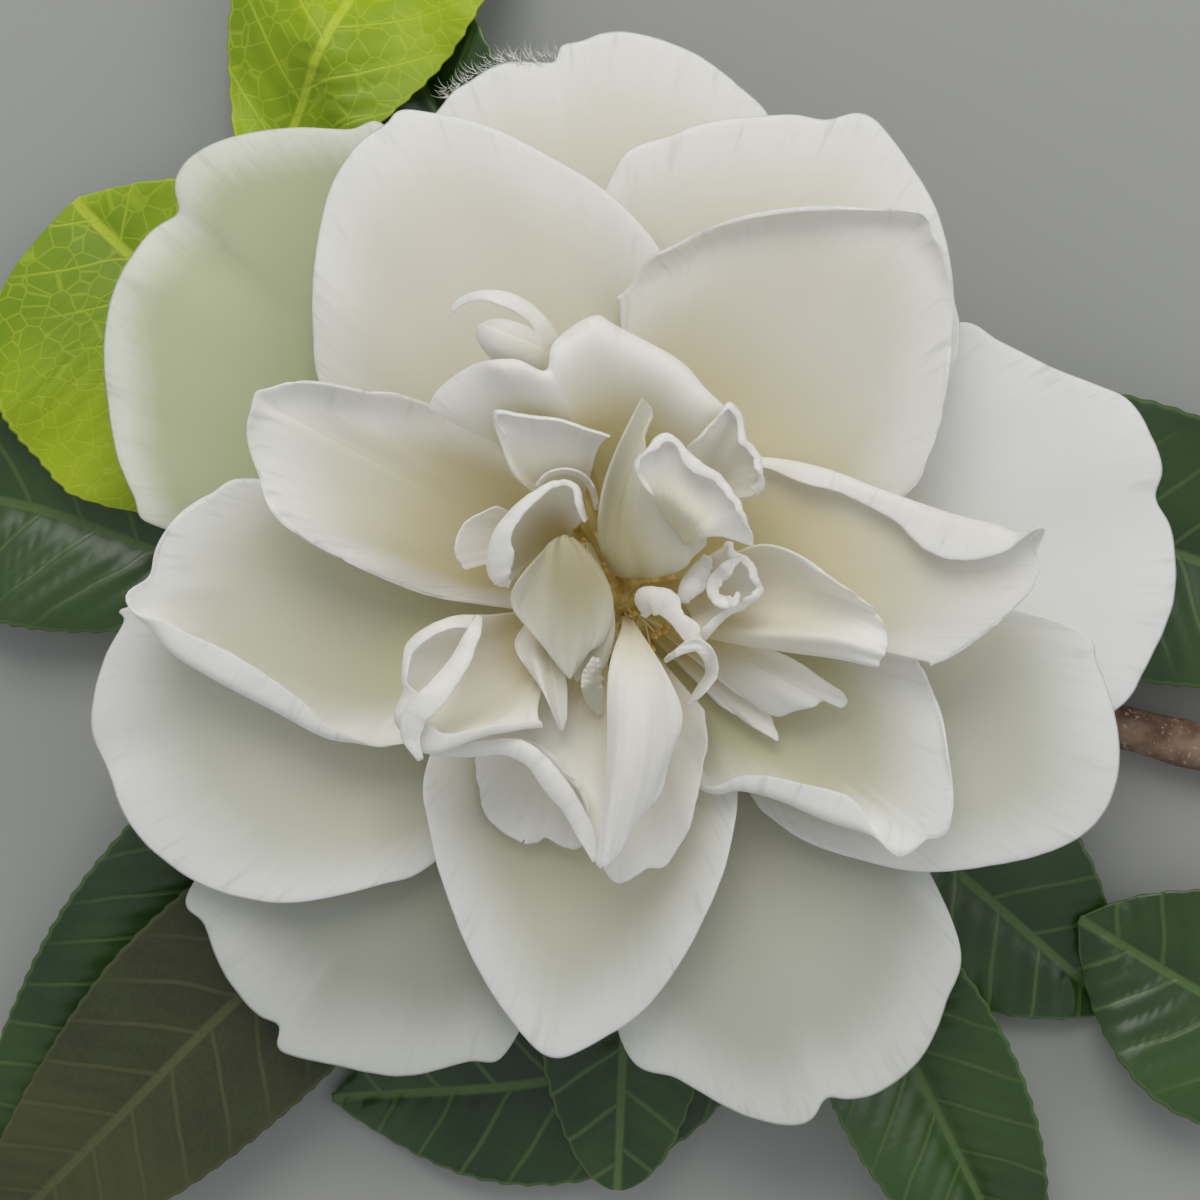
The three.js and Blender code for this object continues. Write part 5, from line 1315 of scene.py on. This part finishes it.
SMALLEST = {
    "narrow_leaf": {
        "band": [[-2.6, -7, 29, 0.5], [-2.8, -11, 29.6, 1.6], [-2.6, -15.5, 30, 1.8], [-2, -20, 30, 1.3],
                 [-1.6, -23, 29.6, 0.3]],
        "lean": 5, "look": PETALOID_PAINTED_SHADE, "before": "petaloid_wavy",
    },
    "wavy_lip": {
        "band": [[-18.6, -16.2, 35, 0.3], [-14.5, -16, 36, 0.7], [-11, -15.6, 36.6, 0.9],
                 [-8.1, -16.8, 37, 1.1], [-6.1, -19.4, 37, 1.2], [-4.3, -21.6, 36.6, 1.1],
                 [-2.9, -24.4, 36, 0.9], [-1.9, -27.2, 35, 0.25]],
        "lean": 15, "ragged": 0.12, "before": "petaloid_back_tail",
    },
    "loop_lip": {
        "band": [[-13.5, -2.6, 37, 0.3], [-14.2, -4.4, 38, 0.8], [-15.6, -7.4, 39, 1.1],
                 [-17.6, -10, 39.4, 1.3], [-19.8, -12.4, 38.8, 1.4], [-20.4, -14.4, 37.6, 1.1],
                 [-19.4, -17, 35.8, 0.3]],
        "lean": 25, "ragged": 0.1, "before": "petaloid_right_upper",
    },
    "hood_second": {
        "band": [[-7.9, 10.4, 36, 0.3], [-6.6, 11.6, 37, 0.7], [-4.6, 11.9, 37.4, 0.8],
                 [-2.9, 11.1, 37, 0.8], [-2.1, 9.6, 36, 0.7], [-1.8, 8, 35, 0.3]],
        "lean": 72, "ragged": 0.05, "before": "petaloid_hood",
    },
    "rosette_tab": {
        "band": [[9.3, 3.4, 33, 0.4], [8.6, 1.8, 34.4, 1.1], [7.6, 0.3, 34.8, 1.2],
                 [6.5, -1.1, 34.4, 0.4]],
        "lean": 15, "ragged": 0.12, "before": "petaloid_tongue",
    },
    "rosette_spiral": {
        "band": [[12.6, 3.2, 33.6, 0.3], [11.6, 2.6, 34.2, 0.8], [10.5, 1.6, 34.4, 1],
                 [9.8, 0.4, 34.4, 1.1], [10.4, -1, 34.4, 1.1], [11.8, -1.2, 34.4, 0.9],
                 [12.3, -0.2, 34, 0.3]],
        "lean": 55, "ragged": 0.2, "before": "petaloid_tongue",
    },
    "ragged_strip": {
        "band": [[2.8, -2.6, 32.8, 0.3], [3.5, -1.2, 34.6, 1.4], [4.9, -1.3, 35.2, 1.4],
                 [6, -2.5, 35.4, 0.9], [7.1, -3.4, 35.6, 1.2], [7.7, -4.6, 35.2, 0.9],
                 [8.6, -5.6, 34, 0.3]],
        "lean": 12, "ragged": 0.2, "gold": 0.3, "before": "petaloid_tongue",
    },
    "inner_leaf_second": {
        "net": [
            [[-7.5, -2.5, 31], [-9.3, -3.8, 33], [-10.1, -5.6, 34], [-8.9, -7.6, 34.4]],
            [[-7.1, -3, 31.5], [-8.3, -5.5, 34], [-8.1, -8, 34.8], [-6.9, -10.6, 34.8]],
            [[-6.7, -3.4, 31.5], [-6.9, -6.5, 34], [-6.4, -10, 34.8], [-5.4, -14.2, 34.4]],
            [[-6.3, -3.4, 31], [-5.5, -6.5, 33], [-4.8, -9.5, 34], [-4.8, -13, 34]],
        ],
        "hidden": 5, "before": "petaloid_inner_leaf",
    },
    "inner_leaf_right": {
        "net": [
            [[-2.5, 4.6, 32.6], [-1.1, 1.5, 34.4], [0, -3.2, 34.8], [-0.7, -7, 34.6], [-1.5, -8.2, 34.2]],
            [[-3, 4.6, 33], [-2, 1, 34.8], [-1.2, -3.4, 35.2], [-1.6, -7.2, 34.8], [-2.2, -8.7, 34.4]],
            [[-3.5, 4.6, 33], [-3, 1, 34.8], [-2.6, -3.4, 35], [-2.9, -7.2, 34.6], [-3.2, -8.9, 34.4]],
            [[-4, 4.6, 32.6], [-4, 1, 34.2], [-4.2, -3.4, 34.4], [-4.2, -7, 34.2], [-4.1, -8.6, 34.2]],
        ],
        "look": PETALOID_PAINTED_SHADE, "ragged": 0.15, "before": "petaloid_inner_leaf",
    },
    "front_scrap": {
        "band": [[-1.9, -6.8, 32, 0.4], [-2.3, -8.8, 32.8, 1.1], [-2.1, -10.4, 33, 1.1],
                 [-1.5, -12.4, 32.4, 0.3]],
        "lean": 8, "ragged": 0.12, "look": PETALOID_PAINTED_SHADE, "before": "petaloid_long_front",
    },
    "lower_curl": {
        "band": [[4.9, -7.1, 33.6, 0.3], [6.7, -5.9, 34.4, 1.1], [8.3, -5.5, 34.8, 1.5],
                 [9.5, -6.8, 35, 1.6], [9.7, -8.4, 35, 1.5], [8.6, -10, 34.6, 1.1],
                 [7.3, -11.6, 34, 0.3]],
        "lean": 66, "ragged": 0.1, "before": "petaloid_long_front",
    },
}
for number, (name, petaloid) in enumerate(PETALOIDS.items()):
    for rank, (small_name, small) in enumerate(SMALLEST.items()):
        if small["before"] == name:
            small = {"look": PETALOID, "ripple": 0.1, **small}
            add_petal("curl_" + small_name, small, THIN, rank + 50)
    petaloid = {"look": PETALOID, "ripple": 0.2, **petaloid}
    add_petal("blade_" + name, petaloid, SMALL, number + 30, name)
print("small petals:", len(PETALOIDS), "and", len(SMALLEST), "smallest ones")

# %% [markdown]
# Between the small petals lies the golden hollow: a low cushion with the few stamens that stayed
# stamens. One thread with its anther is modelled, and the others are copies that lean their own way.

# %% Heart and stamens
GOLDEN_ANGLE = 2.39996
STAMENS = 55


def turned(name, radii, heights, sides=28):
    """A round body on the bloom's axis, from its radius at each height."""
    centres = np.column_stack([0.001 * np.arange(len(heights)), 0 * heights, heights])
    return rod(name, centres, radii, sides)


levels = np.linspace(0, 1, 22)
dome = 3.5 * np.sqrt(np.clip(1.02 - levels**4, 0.004, 1)) + 2.9 * ease(0.35, 0, levels)
cushion = turned("heart_cushion", dome, 20.5 + 8.2 * levels)
bpy.ops.object.shade_smooth()
finish_piece(cushion, HEART_GOLD, "stamen_gold", "heart")


TO_ORIGIN = Matrix.Translation([-c * MM for c in (*BLOOM_AXIS, 0)])


def stamen():
    """One thread with a lobed anther on its end, standing at the origin."""
    t = np.linspace(0, 1, 12)
    centres = np.column_stack([1.6 * t**2, 0 * t, 8.5 * t])
    thread = rod("stamen", centres, 0.2 - 0.07 * t, sides=8)
    thread.data.transform(TO_ORIGIN)
    pods = []
    for side in (-0.32, 0.32):
        deselect()
        bpy.ops.mesh.primitive_uv_sphere_add(segments=12, ring_count=8, radius=0.5 * MM)
        pod = bpy.context.object
        pod.data.transform(Matrix.Diagonal((0.8, 0.75, 1.7, 1)))
        pod.data.transform(Matrix.Translation((1.75 * MM, side * MM, 8.9 * MM)))
        pods.append(pod)
    store(thread.data, "pod", np.zeros(len(thread.data.vertices)))
    for pod in pods:
        store(pod.data, "pod", np.ones(len(pod.data.vertices)))
    whole = joined([thread, *pods], "stamen")
    bpy.ops.object.shade_smooth()
    return whole


spread = np.random.default_rng(7)
stamens = copies_of(stamen(), STAMENS)
for number, piece in enumerate(stamens):
    bearing = number * GOLDEN_ANGLE
    out = 3.3 * math.sqrt((number + 0.5) / STAMENS)
    place = np.array([out * math.cos(bearing), out * math.sin(bearing), 24.5]) + spread.normal(size=3) * 0.25
    lean = math.radians(4 + 9 * out) + spread.normal() * 0.08
    size = 0.62 + 0.16 * spread.random()
    turn = Matrix.Rotation(bearing + spread.normal() * 0.5, 4, "Z") @ Matrix.Rotation(lean, 4, "Y")
    centre = to_frame(place)
    piece.data.transform(Matrix.Translation(centre.tolist()) @ turn @ Matrix.Scale(size, 4))
finish_piece(joined(stamens, "stamens"), STAMEN_GOLD, "stamen_gold")
print("stamens:", STAMENS)

# %% [markdown]
# The topmost back petal has a fringe of fine white hairs along the left part of its rim.

# %% Fringe of hairs
HAIRS = 131


def hair():
    t = np.linspace(0, 1, 7)
    centres = np.column_stack([0.3 * t**2, 0.2 * np.sin(3 * t), 1.5 * t])
    thread = rod("hair", centres, 0.05 * (1.1 - t), sides=5)
    thread.data.transform(TO_ORIGIN)
    bpy.ops.object.shade_smooth()
    return thread


fringe = copies_of(hair(), HAIRS)
rim_line = evenly([[-5.9, 53.4], [-8, 53.1], [-11.5, 52.9], [-14.5, 51.2], [-17, 49.2]], HAIRS)
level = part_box("petal_top_back")[1].z / MM - 1.4
for number, piece in enumerate(fringe):
    place = from_view(np.append(rim_line[number] + spread.normal(size=2) * 0.35, level))
    bearing = math.radians(112 + 35 * number / HAIRS) + spread.normal() * 0.45
    lean = math.radians(72) + spread.normal() * 0.3
    turn = Matrix.Rotation(bearing, 4, "Z") @ Matrix.Rotation(lean, 4, "Y")
    size = 0.5 + 0.6 * spread.random()
    piece.data.transform(Matrix.Translation(to_frame(place).tolist()) @ turn @ Matrix.Scale(size, 4))
finish_piece(joined(fringe, "rim_hairs"), PETAL_WARM, "petal_white")
print("hairs:", HAIRS)

# %% [markdown]
# Under the bloom sits the calyx: a shallow bowl with overlapping rounded sepals.

# %% Calyx and sepals
SEPALS = 8
bowl_heights = np.linspace(8.3, 19.5, 30)
bowl_radii = np.interp(bowl_heights, [8.3, 9.6, 11.8, 13.6, 14.3, 15, 16.5, 19.5],
                       [2.3, 5.4, 7.2, 7.6, 7.4, 5.5, 3.6, 3.2])
bowl = turned("calyx_bowl", bowl_radii, bowl_heights)
bpy.ops.object.shade_smooth()
finish_piece(bowl, SEPAL_GREEN, "calyx_green", "calyx")
for number in range(SEPALS):
    middle = math.radians(number * 137.5)
    inner = number % 2
    u, v = np.meshgrid(np.linspace(-1, 1, 25), np.linspace(0, 1, 17), indexing="ij")
    width = np.sqrt(np.clip(1 - (2 * v - 1.02) ** 2 * 0.85, 0.02, 1))
    angle = middle + 0.72 * u * width
    height = 8.4 + (5.4 + 0.9 * inner) * v - 0.5 * u**2 * v
    radius = np.interp(height, [8.3, 9.6, 11.8, 13.6, 15.2], [2.6, 5.7, 7.6, 8.1, 8.3]) + 0.35 + 0.3 * inner
    grid = np.stack([radius * np.cos(angle), radius * np.sin(angle), height], axis=-1)
    piece = sheet(f"sepal_{number + 1}", grid, 0.6, {}, rim_share=0.5)
    finish_piece(piece, SEPAL_GREEN, "calyx_green")
print("sepals:", SEPALS)

# %% [markdown]
# The floor is plain and stands for any table. The camera looks straight down on the bloom, as the eye
# that the outlines were read from. One soft lamp stands high behind the bloom and a weaker one to its
# right, with a pale sky round them, so the shadows run down and to the left.

# %% Floor, light and camera
deselect()
bpy.ops.mesh.primitive_plane_add(size=30, location=(0, 0, -0.0004))
floor = bpy.context.object
floor.name = "floor"
floor_finish = Finish("floor_paper")
floor.data.materials.append(floor_finish.surface(base_color=rgb(186, 188, 185), roughness=0.9))

EYE = (*((VIEW_AXIS + BLOOM_AXIS) * MM), VIEW_HEIGHT * MM)
bpy.ops.object.camera_add(location=EYE, rotation=(0, 0, 0))
camera = bpy.context.object
camera.data.sensor_width = 36
camera.data.lens = 72
camera.data.clip_start = 0.01
bpy.context.scene.camera = camera


def lamp(name, place, size, power, colour):
    bpy.ops.object.light_add(type="AREA", location=place)
    light = bpy.context.object
    light.name = name
    light.data.shape = "DISK"
    light.data.size = size
    light.data.energy = power
    light.data.color = colour
    aim = -np.array(place)
    light.rotation_euler = Vector(aim).to_track_quat("-Z", "Y").to_euler()


lamp("sky_lamp", (-0.06, 0.34, 0.42), 0.34, 0.82, (1.0, 0.975, 0.94))
lamp("side_lamp", (0.9, 0.3, 0.7), 0.8, 1.2, (1.0, 0.98, 0.95))

world = bpy.data.worlds.new("soft_sky")
world.use_nodes = True
bpy.context.scene.world = world
world.node_tree.nodes["Background"].inputs["Color"].default_value = (0.96, 0.98, 1.0, 1)
world.node_tree.nodes["Background"].inputs["Strength"].default_value = 0.38
bpy.context.scene.view_settings.view_transform = "Standard"
